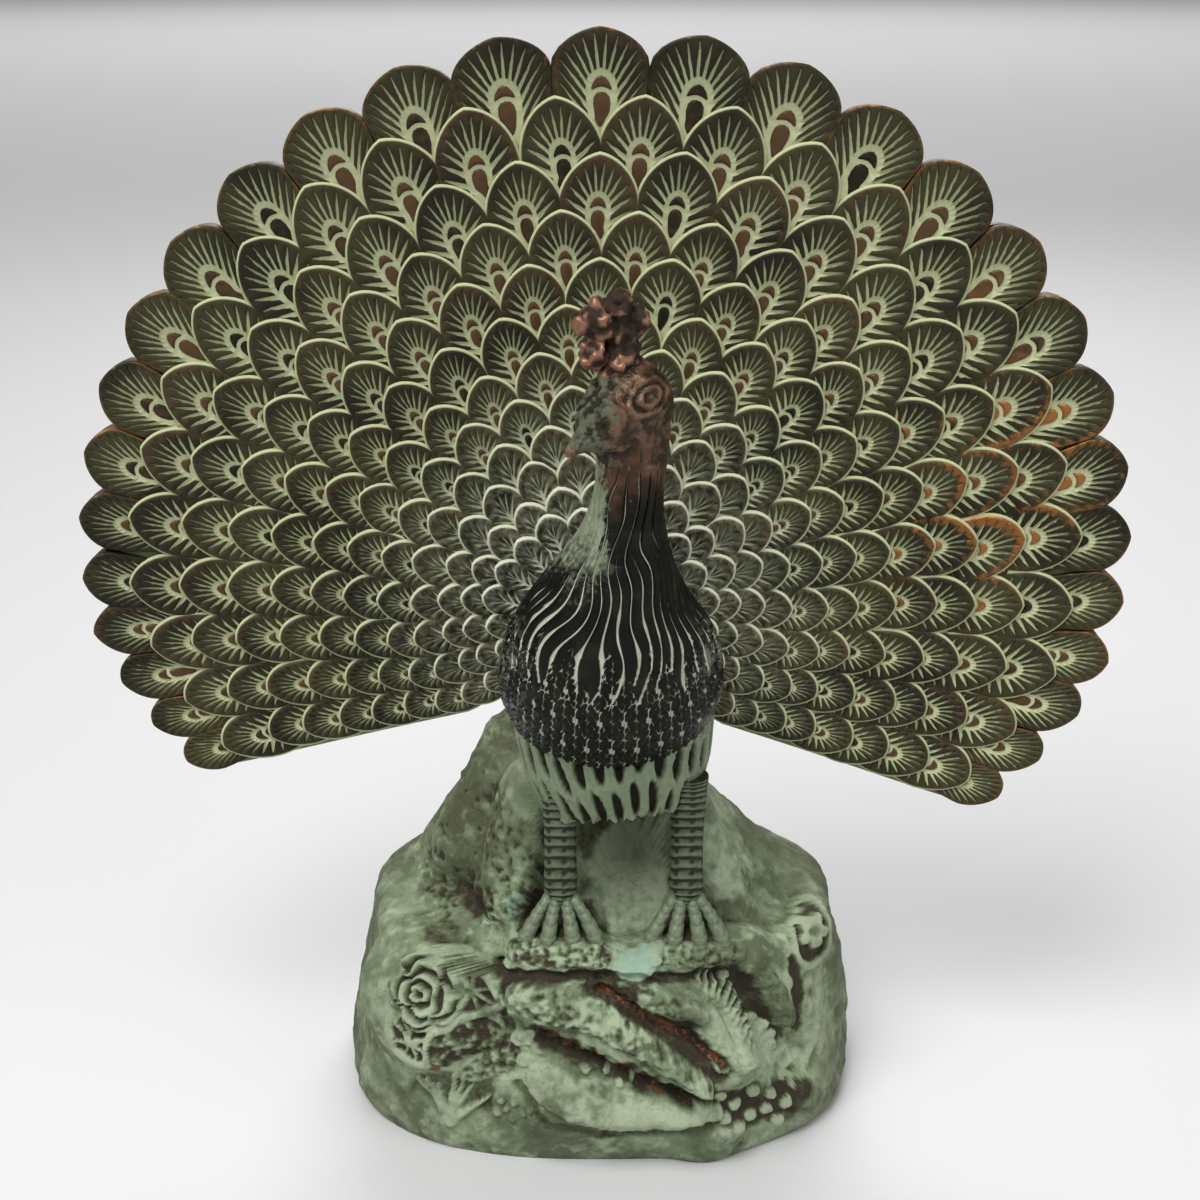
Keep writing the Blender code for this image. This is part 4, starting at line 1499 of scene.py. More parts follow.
        def bands(turn: Array, position: Array) -> Array:
            """Bands of scales, each standing out at its lower end.

            Args:
                turn: the angles round the limb.
                position: the places along it.

            Returns:
                The heights, from nought to one.
            """
            saw = (position / last * scales + 0.25 * np.cos(turn * 2)) % 1
            split = step_up(np.abs(np.sin(turn * 3 + saw)), 0.05, 0.35)
            height = step_up(saw, 0.0, 0.35) * (1 - 0.4 * saw) * (0.45 + 0.55 * split)
            return least + (1 - least) * height

        return SweptForm(path).carve(24, scales * 6 + 12, bands, depth)

    def leg(self, x: float) -> bmesh.types.BMesh:
        """Models a leg down to its ankle.

        Args:
            x: where it stands across.

        Returns:
            Its mesh.
        """
        bottom = self.ankle - self.toe_radius
        middle = (bottom + self.leg_top) / 2
        heights = (bottom, bottom + 0.002, middle, self.leg_top - 0.003, self.leg_top)
        radii = [self.leg_radius * share for share in (0.9, 1.0, 0.95, 1.1, 1.2)]
        path = [((x, self.leg_y, height), radius, radius) for height, radius in zip(heights, radii)]
        return self.limb(path, self.leg_scales, self.leg_depth)

    def toe(self, x: float, spread: float) -> bmesh.types.BMesh:
        """Models one toe.

        Args:
            x: where its leg stands across.
            spread: how far to the side it points.

        Returns:
            Its mesh.
        """
        swing = 0.001 * abs(spread) / self.toe_spread[-1]
        start = np.array((x + spread * 0.15, self.leg_y, self.ankle))
        reach = self.leg_y - self.toe_reach + swing
        tip = np.array((x + spread, reach, self.ground + self.toe_radius * 0.6))
        path = []
        for share, thick in self.toe_profile:
            arch = np.array((0, 0, self.toe_arch * math.sin(math.pi * min(share, 1))))
            spot = tuple(start + (tip - start) * share + arch)
            path.append((spot, self.toe_radius * thick, self.toe_radius * thick))
        return self.limb(path, self.toe_scales, self.toe_depth, self.toe_least)

    def build_legs(self, finish: bpy.types.Material) -> None:
        """Models both legs with their feet.

        Args:
            finish: their material.
        """
        for side, x in zip(("left", "right"), self.legs_x):
            parts = [self.leg(x)] + [self.toe(x, spread) for spread in self.toe_spread]
            add_piece(f"{side}_leg", joined(parts), [finish])

    def build(self) -> None:
        """Builds the whole bird."""
        green = CarvedFinish("thigh_patina", PATINA.dark, PATINA.thigh, 0.22, 1.10, 0.1)
        scaly = CarvedFinish("leg_patina", PATINA.leg_groove, PATINA.leg, 0.40, 1.05, 0.1)
        crest = CarvedFinish("crest_copper", PATINA.crest_groove, PATINA.rosy_copper, 0.45, 1.20, 0.5)
        self.build_body(PlumageFinish().material())
        self.build_skirt(green.material())
        self.build_head(HeadFinish().material())
        self.build_crest(crest.material())
        self.build_legs(scaly.material())


CAST_STEPS = 60
CAST_PACE = 0.7  # each step goes this share of the distance that is left


def soft_min(a: Array, b: Array, blend: float) -> Array:
    """The smaller of two distances, with a rounded change from one to the other."""
    overlap = np.maximum(blend - np.abs(a - b), 0) / blend
    return np.minimum(a, b) - overlap**2 * blend / 4


def bar_distance(
    p: Array, start: Sequence[float], end: Sequence[float], radius: float, end_radius: float
) -> Array:
    """How far points lie outside a round bar that may taper.

    Args:
        p: the points.
        start: where the bar starts.
        end: where it ends.
        radius: its radius at its start.
        end_radius: its radius at its end.

    Returns:
        The distances, less than nought inside.
    """
    start = np.array(start)
    along = np.array(end) - start
    t = np.clip((p - start) @ along / (along @ along), 0, 1)
    return np.linalg.norm(p - start - t[:, None] * along, axis=1) - (radius + (end_radius - radius) * t)


def cast_out(
    distance: Callable[[Array], Array], heart: Array, ways: Array, far: float
) -> Array:
    """Where a form's surface is seen from its heart.

    Args:
        distance: how far points lie outside the form.
        heart: a point inside, from which all of the surface is seen.
        ways: the directions to look in.
        far: how far out to start.

    Returns:
        The points on the surface.
    """
    ways = unit(ways)
    reach = np.full(len(ways), far)
    for _ in range(CAST_STEPS):
        reach -= CAST_PACE * distance(heart + ways * reach[:, None])
    return heart + ways * reach[:, None]


@dataclass
class Lumps:
    """Round bars that run into each other."""

    heart: Spot
    bars: tuple[tuple[Sequence[float], Sequence[float], float, float], ...]
    blend: float

    def distance(self, p: Array) -> Array:
        """How far points lie outside the lumps.

        Args:
            p: the points.

        Returns:
            The distances.
        """
        result = np.full(len(p), 1.0)
        for start, end, radius, end_radius in self.bars:
            result = soft_min(result, bar_distance(p, start, end, radius, end_radius), self.blend)
        return result

    def cast(self, ways: Array) -> Array:
        """The surface seen from the heart in these directions."""
        return cast_out(self.distance, np.array(self.heart), ways, 0.02)


def path_distance(spot: Array, path: Sequence[Flat]) -> tuple[Array, Array]:
    """How far flat points lie from a path.

    Args:
        spot: the points.
        path: the path's corners.

    Returns:
        The distance, and how far along the path its nearest place is, from nought to one.
    """
    best = np.full(len(spot), np.inf)
    place = np.zeros(len(spot))
    for step, (start, end) in enumerate(zip(path, path[1:])):
        along = np.array(end) - start
        t = np.clip((spot - start) @ along / (along @ along), 0, 1)
        away = np.linalg.norm(spot - start - t[:, None] * along, axis=1)
        place = np.where(away < best, (step + t) / (len(path) - 1), place)
        best = np.minimum(best, away)
    return best, place


@dataclass(frozen=True)
class Stroke:
    """A raised or sunk line of the rock's carving, in millimetres on its front."""

    path: tuple[Flat, ...]
    radius: float
    height: float
    tone: float
    tip: float | None = None  # the radius at the far end
    moss: float = 0.0
    bare: float = 0.0


def dark(path: Sequence[Flat], radius: float, depth: float, bare: float = 0.0) -> Stroke:
    """A dark sunk line."""
    return Stroke(tuple(path), radius, -depth, 0.12, bare=bare)


@dataclass(frozen=True)
class RockCarving:
    """The ornament on the rock's front, drawn across and up in millimetres, as seen from above."""

    small: float = 1.05  # raised lines thinner than this don't pile up where they cross
    rose: Flat = (-21.4, 14.3)
    rose_radius: float = 4.9
    rose_rings: tuple[tuple[float, int, float], ...] = (
        (0.24, 3, 0.4), (0.54, 3, 1.7), (0.80, 4, 0.5), (1.0, 5, 1.5),
    )
    blossom: Flat = (27.3, 20.6)
    blossom_radius: float = 2.3
    leaf: tuple[Flat, ...] = (
        (-20.4, 19.0), (-17.1, 18.8), (-14.3, 16.8), (-12.0, 13.2),
        (-13.6, 11.9), (-16.8, 11.2), (-20.4, 9.6),
    )
    small_leaf: tuple[Flat, ...] = (
        (-26.0, 12.6), (-26.8, 9.4), (-26.2, 6.6), (-23.9, 5.4),
        (-21.6, 5.2), (-21.7, 7.8), (-21.2, 9.9),
    )
    tuft: Flat = (-19.1, -3.0)
    blades: tuple[Flat, ...] = (
        (-23.2, 3.1), (-21.9, 2.8), (-20.7, 1.9), (-18.5, 3.8),
        (-17.3, 3.4), (-16.4, 1.9), (-14.1, 0.6), (-15.5, -0.6),
    )
    fern: tuple[Flat, ...] = ((12.6, 15.0), (15.6, 12.9), (17.2, 9.5), (17.4, 5.7))
    fern_blades: int = 13
    scallop: Flat = (18.4, 6.4)
    pebbles: tuple[Flat, ...] = (
        (15.2, 1.0), (17.1, -0.3), (19.4, 0.9), (21.9, 0.2), (19.2, -2.3), (17.3, -3.0),
        (15.7, -1.7), (24.0, -1.3), (21.2, -1.7), (22.8, -3.2), (16.3, 16.3),
    )
    beads: tuple[Flat, ...] = (
        (-12.7, 0.0), (-12.0, -1.1), (-10.8, -0.2), (-9.8, -1.3), (-8.9, -0.5), (-11.2, -2.2),
        (-13.0, -1.7), (-8.3, -1.9), (-1.8, 4.8), (0.8, 4.5), (2.4, 3.0), (4.3, 3.2),
    )
    warts: tuple[Flat, ...] = ((-10.2, 8.7), (-9.5, 5.8))
    fern_reach: float = 2.6
    scallop_reach: float = 4.0
    scallop_turns: tuple[float, ...] = (-25, -5, 15, 35, 55)

    def strokes(self) -> list[Stroke]:
        """Lists the carving's lines, in the order in which they are cut.

        Returns:
            The lines.
        """
        made = [
            dark(((0.0, 15.2), (8.0, 10.5), (14.5, 5.0)), 2.9, 1.0),
            dark(((15.0, 15.6), (19.5, 13.0), (22.0, 8.0)), 2.9, 0.9),
            dark(((-8.5, 9.5), (-2.0, 6.5), (6.0, 3.0), (12.0, 0.8)), 1.7, 1.0),
            Stroke(((-22.0, 1.2), (-15.6, 1.0)), 3.0, -0.3, 0.30),
            # the sunk line under the ledge below the feet, painted dark as the shadow there
            dark(((-12.9, 17.0), (-5.1, 16.6), (2.5, 16.6), (10.2, 16.4), (15.5, 16.6)), 0.95, 1.2),
            dark(((17.0, 17.6), (18.6, 14.2), (20.6, 9.6)), 1.3, 1.1),
            dark(((24.8, 17.6), (25.8, 12.9), (25.4, 8.4)), 1.0, 0.5),
            dark(((-11.8, 15.8), (-12.2, 12.0), (-10.8, 8.6)), 1.0, 0.6),
            dark(((14.6, 0.2), (20.0, -1.2), (25.5, -0.9)), 2.9, 0.5),
            dark(((-18.4, 26.0), (-16.2, 23.6)), 1.7, 1.0),
            Stroke(
                ((-9.8, 14.0), (-1.2, 12.3), (5.1, 8.8), (10.9, 4.6), (13.0, 3.2)),
                2.5, 1.9, 0.85, 1.2, 0.9,
            ),
            Stroke(((-6.6, 3.6), (-3.0, 0.8), (2.5, -0.9), (10.2, -0.6), (14.4, -0.6)), 2.7, 1.5, 0.95, 1.0),
            Stroke(((6.6, 14.0), (11.6, 12.4)), 2.2, 1.7, 0.75, 1.4, 0.9),
            Stroke(((11.0, 13.5), (13.8, 11.2), (15.2, 8.2), (15.6, 5.2)), 1.6, 1.1, 0.85, 1.2),
            Stroke(((18.2, 6.2), (19.6, 5.2)), 2.0, 0.8, 0.80),
            dark(((0.0, 15.0), (6.4, 11.4), (11.5, 8.7), (15.7, 5.2)), 0.85, 1.3, 0.75),
            dark(((-7.2, 9.0), (-2.5, 6.9), (2.5, 4.6), (7.6, 1.8), (11.4, 0.6)), 0.80, 1.3, 0.75),
            Stroke(((-10.2, 2.2), (-6.6, -2.2), (0.0, -3.9), (7.6, -3.4), (14.0, -2.6)), 0.9, -0.5, 0.36),
            Stroke(((-19.5, 7.2), (-15.0, 9.0), (-12.0, 7.2)), 2.4, 0.3, 0.5, moss=1.0),
            Stroke(((-16.0, 3.8), (-12.2, 5.6)), 1.8, 0.3, 0.75, moss=0.8),
            Stroke(((-23.0, 6.0), (-20.9, 4.8)), 0.9, 0.0, 0.2, bare=0.9),
            # painted shadow: dark patches on the rock round each foot
            dark(((-8.6, 22.6), (-2.0, 22.6)), 2.3, 0.3),
            dark(((7.6, 22.4), (14.0, 22.2)), 2.3, 0.3),
            Stroke(((-10.4, 19.6), (-6.0, 19.2), (0.0, 18.9)), 1.5, 0.6, 0.7, moss=0.9),
            Stroke(((7.0, 19.4), (12.0, 19.0), (17.0, 19.2)), 1.5, 0.6, 0.7, moss=0.9),
            Stroke(((-1.0, 32.5), (4.0, 33.5), (9.4, 32.5)), 3.2, -0.3, 0.30),
            Stroke(((4.2, 30.0), (4.4, 24.0), (4.4, 18.9)), 5.4, 0.8, 0.92, 3.2),
            Stroke(((20.0, 17.6), (22.0, 14.0), (23.8, 9.8)), 1.1, 1.0, 0.42, 1.7),
            Stroke(((28.3, 16.4), (28.8, 11.4), (27.9, 6.3), (26.1, 1.9)), 0.55, 0.4, 0.85),
            Stroke(((29.6, 13.0), (29.7, 8.6), (28.6, 4.2)), 0.45, 0.35, 0.80),
            Stroke(((22.7, 4.8), (24.2, 5.1), (24.8, 3.5), (23.6, 2.5)), 0.5, 0.45, 0.85),
            Stroke(((23.6, 1.9), (25.0, 1.7), (25.2, 0.4)), 0.45, 0.4, 0.80),
        ]
        made += self.leaf_strokes(self.leaf) + self.leaf_strokes(self.small_leaf)
        made += [Stroke((self.tuft, tip), 0.75, 0.75, 0.92, 0.15) for tip in self.blades]
        made += self.fern_strokes()
        made += [Stroke((spot, (spot[0] + 0.3, spot[1])), 0.75, 0.65, 0.95) for spot in self.pebbles]
        made += [Stroke((spot, (spot[0] + 0.1, spot[1])), 0.5, 0.45, 0.9) for spot in self.beads]
        made += [Stroke(((x, y), (x + 0.9, y + 0.1)), 1.0, 0.6, 0.95) for x, y in self.warts]
        return made

    def leaf_strokes(self, outline: Sequence[Flat]) -> list[Stroke]:
        """A leaf: a sunk floor with short veins inside a raised edge.

        Args:
            outline: the leaf's edge.

        Returns:
            Its lines.
        """
        middle = np.mean(outline, axis=0)
        made = [dark([tuple(middle + (np.array(corner) - middle) * 0.45) for corner in outline], 1.3, 0.35)]
        for corner, after in zip(outline, outline[1:]):
            side = (np.array(corner) + after) / 2
            inner = middle + (side - middle) * 0.15
            outer = middle + (side - middle) * 0.75
            made.append(Stroke((tuple(inner), tuple(outer)), 0.38, 0.45, 0.85, 0.2))
        made.append(Stroke(tuple(outline), 0.55, 0.6, 0.92))
        return made

    def fern_strokes(self) -> list[Stroke]:
        """A curved row of blades, and the scallop at its foot.

        Returns:
            Their lines.
        """
        made = [Stroke(self.fern, 0.9, 0.5, 0.8)]
        spine = np.array(self.fern)
        for blade in range(self.fern_blades):
            place = blade / (self.fern_blades - 1) * (len(spine) - 1.001)
            step = int(place)
            foot = spine[step] + (spine[step + 1] - spine[step]) * (place - step)
            turn = math.radians(78 - 62 * blade / self.fern_blades)
            tip = foot + np.array((math.cos(turn), math.sin(turn))) * self.fern_reach
            made.append(Stroke((tuple(foot), tuple(tip)), 0.42, 0.75, 0.95, 0.15))
        for turn in np.radians(self.scallop_turns):
            way = np.array((math.cos(turn), math.sin(turn)))
            tip = np.array(self.scallop) + way * self.scallop_reach
            made.append(Stroke((self.scallop, tuple(tip)), 0.4, 0.6, 0.9, 0.75))
        return made

    def rose_relief(self, spot: Array) -> tuple[Array, Array, Array]:
        """The rose: petals wound round its heart, inside a lobed outline.

        Args:
            spot: the points.

        Returns:
            Its height, how pale it is, and where it is.
        """
        x, y = (spot - self.rose).T
        turn = np.arctan2(y, x)
        away = np.hypot(x, y) / self.rose_radius
        lip = np.zeros(len(turn))
        fold = np.zeros(len(turn))
        for reach, petals, swing in self.rose_rings:
            edge = reach * (1 - 0.30 * np.abs(np.sin(petals * turn / 2 + swing)) ** 5)
            across = (away - lip) / np.maximum(edge - lip, 0.02)
            petal = step_up(across, 0.15, 0.75) * (1 - 0.4 * step_up(across, 0.85, 1.0))
            fold = np.where(away >= lip, petal, fold)
            lip = edge
        inside = step_up(edge - away, 0.0, 0.08)
        height = (0.35 + 1.0 * np.clip(1 - away**2, 0, 1)) + 1.05 * fold
        return height, 1.15 * fold - 0.16, inside

    def blossom_relief(self, spot: Array) -> tuple[Array, Array, Array]:
        """Five round petals in an oval frame.

        Args:
            spot: the points.

        Returns:
            Their height, how pale they are, and where they are.
        """
        x, y = (spot - self.blossom).T
        turn = np.arctan2(y, x)
        away = np.hypot(x, y) / self.blossom_radius
        petal = 0.62 + 0.38 * np.abs(np.cos(2.5 * turn + 0.4))
        flower = step_up(petal - away, -0.05, 0.15) * (0.55 + 0.45 * step_up(away, 0.15, 0.5))
        ring = np.hypot(x / 2.6, (y + 0.4) / 3.9)
        frame = step_up(np.abs(ring - 1), 0.20, 0.06)
        height = np.maximum(flower * 0.9, frame * 0.6)
        return height, 0.05 + 0.9 * np.maximum(flower, frame), step_up(ring, 1.18, 1.05)

    def press(
        self, spot: Array, height: Array, tone: Array, moss: Array, uneven: Array
    ) -> tuple[Array, Array, Array, Array]:
        """Cuts the ornament into a surface.

        Args:
            spot: the surface's points, across and up in millimetres.
            height: how far each stands out, in millimetres.
            tone: how pale it is.
            moss: how mossy it is.
            uneven: how much wider than drawn a sunk line is.

        Returns:
            Height, tone and moss after cutting, and how bare each point is.
        """
        bare = np.zeros(len(spot))
        gained = np.zeros(len(spot))
        for stroke in self.strokes():
            away, place = path_distance(spot, stroke.path)
            tip = stroke.radius if stroke.tip is None else stroke.tip
            if stroke.height < 0:
                away = away / (1 + uneven)
            inside = np.clip(1 - (away / (stroke.radius + (tip - stroke.radius) * place)) ** 2, 0, 1)
            change = stroke.height * (np.sqrt(inside) if stroke.height > 0 else inside)
            if stroke.height > 0 and stroke.radius < self.small:
                height = height + np.maximum(change - gained, 0)
                gained = np.maximum(gained, change)
            else:
                height = height + change
            share = step_up(inside, 0.0, 0.75 if stroke.height < 0 else 0.35)
            tone = tone + (stroke.tone - tone) * share
            moss = moss + (stroke.moss - moss) * share
            bare = bare + (stroke.bare - bare) * share
        for lift, pale, share in (self.rose_relief(spot), self.blossom_relief(spot)):
            height = height + (lift - height) * share
            tone = tone + (pale - tone) * share
            moss = moss * (1 - share)
            bare = bare * (1 - share)
        return height, tone, moss, bare


@dataclass
class Rock:
    """The carved rock under the bird."""

    half_width: float = 0.0342
    half_depth: float = 0.0240
    height: float = 0.0262
    lean: float = 0.13
    foot: float = 0.0030
    foot_loss: float = 0.04
    squareness: float = 2.5
    blend: float = 0.0025
    below: float = 0.0040
    heart: Spot = (0.0, 0.0020, 0.0180)
    focus: Spot = (0.0, -0.15, 0.05)
    hump: tuple[tuple[float, ...], ...] = (
        (0.0050, 0.0000, 0.0060, 0.0320, 0.0170),
        (0.0260, 0.0006, 0.0060, 0.0282, 0.0150),
        (0.0330, -0.0014, 0.0058, 0.0218, 0.0130),
        (0.0400, -0.0024, 0.0058, 0.0160, 0.0115),
        (0.0480, -0.0012, 0.0062, 0.0115, 0.0095),
        (0.0580, 0.0000, 0.0070, 0.0095, 0.0075),
    )
    alcove: Spot = (0.0030, -0.0140, 0.0380)
    alcove_radii: Spot = (0.0055, 0.0120, 0.0110)
    lumps: tuple[tuple[Sequence[float], Sequence[float], float], ...] = (
        ((-0.0090, -0.0185, 0.0210), (0.0110, -0.0230, 0.0105), 0.0040),
        ((0.0050, -0.0190, 0.0210), (0.0165, -0.0205, 0.0130), 0.0036),
        ((-0.0060, -0.0215, 0.0080), (0.0140, -0.0205, 0.0050), 0.0044),
        ((-0.0248, -0.0110, 0.0175), (-0.0205, -0.0155, 0.0150), 0.0068),
        ((0.0225, -0.0130, 0.0050), (0.0130, -0.0190, 0.0030), 0.0052),
        ((0.0262, -0.0040, 0.0215), (0.0280, -0.0030, 0.0120), 0.0052),
        ((-0.0110, -0.0145, 0.0250), (0.0010, -0.0150, 0.0250), 0.0034),
        ((0.0050, -0.0150, 0.0250), (0.0180, -0.0135, 0.0250), 0.0034),
        ((-0.0172, 0.0000, 0.0330), (-0.0112, 0.0030, 0.0460), 0.0048),
        ((-0.0120, -0.0075, 0.0300), (-0.0085, -0.0060, 0.0440), 0.0044),
        ((0.0158, -0.0050, 0.0280), (0.0098, -0.0035, 0.0410), 0.0044),
    )
    hollows: tuple[tuple[Sequence[float], Sequence[float], float], ...] = (
        ((0.0240, -0.0205, 0.0180), (0.0265, -0.0175, 0.0110), 0.0044),
        ((-0.0130, -0.0235, 0.0190), (-0.0125, -0.0262, 0.0060), 0.0030),
        ((-0.0040, -0.0260, 0.0170), (0.0150, -0.0265, 0.0080), 0.0016),
        ((-0.0195, -0.0130, 0.0300), (-0.0150, -0.0150, 0.0260), 0.0034),
        ((0.0130, -0.0240, 0.0230), (0.0210, -0.0190, 0.0230), 0.0022),
        ((0.0225, -0.0080, 0.0390), (0.0250, -0.0050, 0.0300), 0.0040),
    )

    detail: int = 6  # how often the ball that it is made of is subdivided
    reach: float = 0.0018  # how far out the form is felt for hollows, which painted shade darkens
    wander: float = 0.0024  # the ornament's lines waver over this length
    sway: float = 0.25  # and by this much, in millimetres
    mossy: Spot = (-0.0150, -0.0030, 0.0350)
    mossy_fade: Flat = (0.0140, 0.0090)
    front: float = 0.003  # what lies before this has the carved ornament
    tilt: float = math.radians(20.0)  # the ornament is drawn as seen from this far above
    fine_before: float = -0.14  # directions from the heart that get the finest mesh: forward
    fine_between: Flat = (-0.74, 0.50)  # and up

    def pedestal(self, p: Array) -> Array:
        """How far points lie outside the pedestal.

        Args:
            p: the points.

        Returns:
            The distances.
        """
        height = np.maximum(p[:, 2], 0)
        drawn = 1 - self.lean * height / self.half_depth
        drawn = drawn - self.foot_loss * np.maximum(1 - height / self.foot, 0) ** 2
        across = np.abs(p[:, 0]) / (self.half_width * drawn)
        deep = np.abs(p[:, 1]) / (self.half_depth * drawn)
        about = (across**self.squareness + deep**self.squareness) ** (1 / self.squareness)
        return -soft_min((1 - about) * self.half_depth, self.height - p[:, 2], self.blend)

    def crag(self, p: Array) -> Array:
        """How far points lie outside the hump behind the bird.

        Args:
            p: the points.

        Returns:
            The distances.
        """
        table = np.array(self.hump)
        x, y, wide, thick = (np.interp(p[:, 2], table[:, 0], table[:, k]) for k in range(1, 5))
        side = np.hypot((p[:, 0] - x) / wide, (p[:, 1] - y) / thick) - 1
        return np.maximum(side * thick, p[:, 2] - table[-1, 0])

    def distance(self, p: Array) -> Array:
        """How far points lie outside the rock, roughly.

        Args:
            p: the points.

        Returns:
            The distances.
        """
        result = soft_min(self.pedestal(p), self.crag(p), 2 * self.blend)
        for start, end, radius in self.lumps:
            result = soft_min(result, bar_distance(p, start, end, radius, radius), self.blend)
        for start, end, radius in self.hollows:
            result = -soft_min(-result, bar_distance(p, start, end, radius, radius), self.blend)
        radii = np.array(self.alcove_radii)
        alcove = (np.linalg.norm((p - np.array(self.alcove)) / radii, axis=1) - 1) * radii.min()
        result = -soft_min(-result, alcove, self.blend)
        return np.maximum(result, -p[:, 2] - self.below)

    def carve(self, points: Array, outward: Array) -> tuple[Array, Array, Array]:
        """Works out the rock's fine carving.

        Args:
            points: the smooth form's points.
            outward: the direction away from its heart, at each.

        Returns:
            How far each point stands out, in metres, how pale it is, and how bare.
        """
        # painted shade: the tone falls where the form closes in round a point, so its hollows turn darker
        room = self.distance(points + outward * self.reach) / self.reach
        tone = 0.20 + 0.55 * step_up(room, 0.02, 0.55)
        pits = cloud(points, 0.0021, 3)
        height = 0.34 * cloud(points, 0.0045, 3) + 0.16 * pits
        tone = tone + 0.20 * height + 0.28 * pits
        bare = np.zeros(len(points))
        moss = step_up(np.linalg.norm(points - np.array(self.mossy), axis=1), *self.mossy_fade)
        front = points[:, 1] < self.front
        ahead = points[front]
        up = ahead[:, 1] * math.sin(self.tilt) + ahead[:, 2] * math.cos(self.tilt)
        wander = [cloud(ahead + shift, self.wander, 2) for shift in (0.0, 0.05)]
        spot = np.stack([ahead[:, 0], up], 1) * 1000 + self.sway * np.stack(wander, 1)
        uneven = 0.55 * cloud(ahead, 0.0017, 3)
        carved = RockCarving().press(spot, height[front], tone[front], moss[front], uneven)
        height[front], tone[front], moss[front], bare[front] = carved
        stipple = cloud(points, 0.00085, 2)
        height = height + moss * 0.30 * stipple + 0.07 * stipple
        tone = tone + moss * (0.60 * stipple - 0.24) + 0.10 * stipple
        return height * 0.001, np.clip(tone, 0, 1), bare

    def is_carved(self, way: Vector) -> bool:
        """Whether the ornament lies this way from the heart."""
        way = way.normalized()
        return way.y < self.fine_before and self.fine_between[0] < way.z < self.fine_between[1]

    def build(self) -> bpy.types.Object:
        """Models the rock: a ball drawn in onto its form, carved, then cut off flat below.

        Returns:
            The piece.
        """
        bm = bmesh.new()
        bmesh.ops.create_icosphere(bm, subdivisions=self.detail, radius=1)
        bmesh.ops.subdivide_edges(bm, edges=bm.edges, cuts=1, use_grid_fill=True)
        ahead = {vert for vert in bm.verts if self.is_carved(vert.co + Vector(self.focus))}
        fine = [edge for edge in bm.edges if ahead.issuperset(edge.verts)]
        bmesh.ops.subdivide_edges(bm, edges=fine, cuts=1, use_grid_fill=True)
        ways = np.array([vert.co.normalized() for vert in bm.verts]) + np.array(self.focus)
        points = cast_out(self.distance, np.array(self.heart), ways, 2 * self.half_width)
        outward = unit(points - np.array(self.heart))
        height, tone, bare = self.carve(points, outward)
        height *= step_up(points[:, 2], -0.0005, 0.0020)
        settle(bm, bm.verts, points + outward * height[:, None], relief=tone, bare=bare)
        everything = bm.verts[:] + bm.edges[:] + bm.faces[:]
        ground = {"plane_co": (0, 0, 0), "plane_no": (0, 0, -1)}
        cut = bmesh.ops.bisect_plane(bm, geom=everything, clear_outer=True, **ground)
        rim = [item for item in cut["geom_cut"] if isinstance(item, bmesh.types.BMEdge)]
        bmesh.ops.contextual_create(bm, geom=rim)
        bmesh.ops.recalc_face_normals(bm, faces=bm.faces)
        return add_piece("rock", bm, [RockFinish().material()])


@dataclass
class FanPlate:
    """The plain plate behind the feathers, ribbed on its back, with the fan's lobed rim."""

    inset: float = 0.00012
    lobe_columns: int = 10
    rings: int = 40
    front: float = -0.0002
    rib: float = 0.00035
    rim_depth: float = 0.58

    def build(self, finish: bpy.types.Material) -> bpy.types.Object:
        """Makes the plate.

        Args:
            finish: its material.

        Returns:
            The piece.
        """
        share, lobes = FAN.rows[0]
        bm = bmesh.new()
        columns = lobes * self.lobe_columns
        bmesh.ops.create_grid(bm, x_segments=columns, y_segments=self.rings, size=1)
        bmesh.ops.solidify(bm, geom=bm.faces[:], thickness=1.0)
        spot = np.array([vert.co for vert in bm.verts])
        at_front = np.abs(spot[:, 2]) < 0.5
        step = np.rint((spot[:, 0] + 1) / 2 * columns)
        along = (spot[:, 1] + 1) / 2
        within = np.sin((step % self.lobe_columns / self.lobe_columns - 0.5) * math.pi)
        place = np.floor(step / self.lobe_columns) + 0.5 + 0.5 * within
        arch = 1 - np.sqrt(1 - within**2)
        notch = self.rim_depth * (arch + FeatherPattern.point * (np.abs(within) - arch))
        share_here = FAN.core_share * 0.3 + (share - FAN.core_share * 0.3) * along
        hems = {value: FAN.hem(value) for value in np.unique(share_here)}
        hem = np.array([hems[value] for value in share_here])
        turn = FAN.spread(hem, FAN.crowding, 2 * place / lobes - 1)
        rim = FAN.rim(turn)
        spacing = (share - FAN.rows[1][0]) * rim
        reach = share_here * rim - (notch * spacing + self.inset) * along**12
        inward = np.maximum(0.0, 1 - reach / FAN.radius)
        thick = FAN.thickness + (FAN.core_thickness - FAN.thickness) * inward**2
        rib = self.rib * within**2 * step_up(along, 0.1, 0.3)
        lift = np.where(at_front, self.front, -thick + rib)
        # painted shade and highlight on the rim's edge: the relief there turns it dark brown, and the bare
        # mark lays copper glints along it
        relief = np.maximum(0.8 - 0.6 * within**2, along**20)
        settle(bm, bm.verts, FAN.point(reach, turn, lift), relief=relief, bare=0.42 * along**60)
        bmesh.ops.recalc_face_normals(bm, faces=bm.faces)
        return add_piece("fan_plate", bm, [finish])


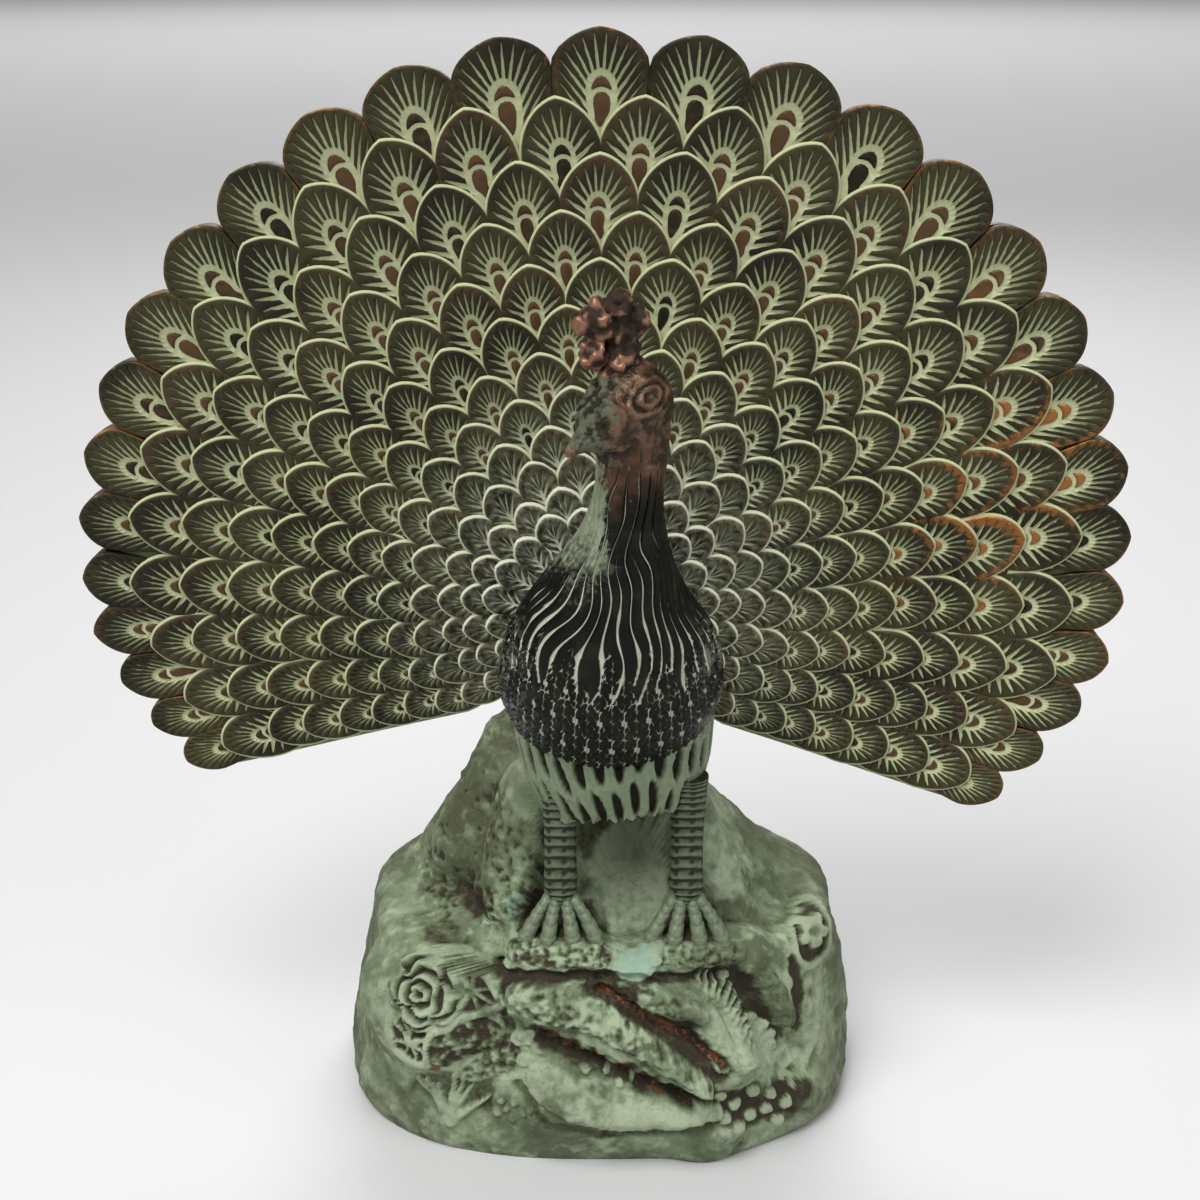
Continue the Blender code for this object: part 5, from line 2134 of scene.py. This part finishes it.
@dataclass
class Studio:
    """The floor, the lights and the camera, at the photograph's viewing angle."""

    camera_place: Spot = (0.0, -0.215, 0.146)
    camera_pitch: float = math.radians(70.0)
    lens: float = 54.0
    near_clip: float = 0.01
    floor_size: float = 60.0
    floor_colour: Colour = (0.62, 0.62, 0.62)
    floor_rough: float = 0.6
    sky: Colour = (0.80, 0.80, 0.82)
    sky_strength: float = 0.32
    middle: Spot = (0.0, 0.0, 0.06)
    # Each lamp's name, place, side in metres, power in watts, and what it looks at.
    lamps: tuple[tuple[str, Spot, float, float, Spot], ...] = (
        ("key", (-0.22, -0.30, 0.62), 0.40, 4.6, middle),
        ("fill", (0.50, -0.35, 0.35), 0.50, 1.2, middle),
        ("back", (0.10, 0.50, 0.50), 0.40, 1.5, middle),
        ("floor_light", (0.0, 3.2, 2.2), 3.0, 70.0, (0.0, 3.0, 0.0)),
    )

    def add(self, name: str, data: bpy.types.ID) -> bpy.types.Object:
        """Puts a lamp, a camera or a mesh into the scene.

        Args:
            name: its name.
            data: what it is.

        Returns:
            The object.
        """
        thing = bpy.data.objects.new(name, data)
        bpy.context.scene.collection.objects.link(thing)
        return thing

    def camera(self) -> None:
        """Sets up the camera."""
        data = bpy.data.cameras.new("camera")
        data.lens = self.lens
        data.sensor_width = 36.0
        data.clip_start = self.near_clip
        camera = self.add("camera", data)
        camera.location = self.camera_place
        camera.rotation_euler = (self.camera_pitch, 0.0, 0.0)
        bpy.context.scene.camera = camera

    def lights(self) -> None:
        """Hangs the soft square lamps."""
        for name, place, size, watts, aim in self.lamps:
            data = bpy.data.lights.new(name, "AREA")
            data.size = size
            data.energy = watts
            lamp = self.add(name, data)
            lamp.location = place
            lamp.rotation_euler = (Vector(aim) - Vector(place)).to_track_quat("-Z", "Y").to_euler()

    def floor(self) -> None:
        """Lays a plain pale floor."""
        bm = bmesh.new()
        bmesh.ops.create_grid(bm, x_segments=1, y_segments=1, size=self.floor_size)
        mesh = bpy.data.meshes.new("floor")
        bm.to_mesh(mesh)
        bm.free()
        look = Shading("pale_floor")
        plug(look.tree, look.shader.inputs["Base Color"], self.floor_colour)
        look.shader.inputs["Roughness"].default_value = self.floor_rough
        mesh.materials.append(look.material)
        floor = self.add("floor", mesh)

    def build(self) -> None:
        """Sets up the whole studio."""
        self.camera()
        self.floor()
        self.lights()
        world = bpy.data.worlds.new("studio")
        world.use_nodes = True
        sky = world.node_tree.nodes["Background"].inputs
        sky["Color"].default_value = (*self.sky, 1)
        sky["Strength"].default_value = self.sky_strength
        bpy.context.scene.world = world
        bpy.context.scene.view_settings.view_transform = "Standard"


def main() -> None:
    """Builds the figurine's looks piece by piece."""
    logging.basicConfig(level=logging.INFO, format="%(name)s: %(message)s")
    Studio().build()
    Feathers().build([FeatherFinish().material(), EyeFinish().material()])
    back = CarvedFinish("back_patina", PATINA.green, PATINA.tarnish, 0.3, 0.9)
    FanPlate().build(back.material())
    Bird().build()
    Rock().build()


if __name__ == "__main__":
    main()
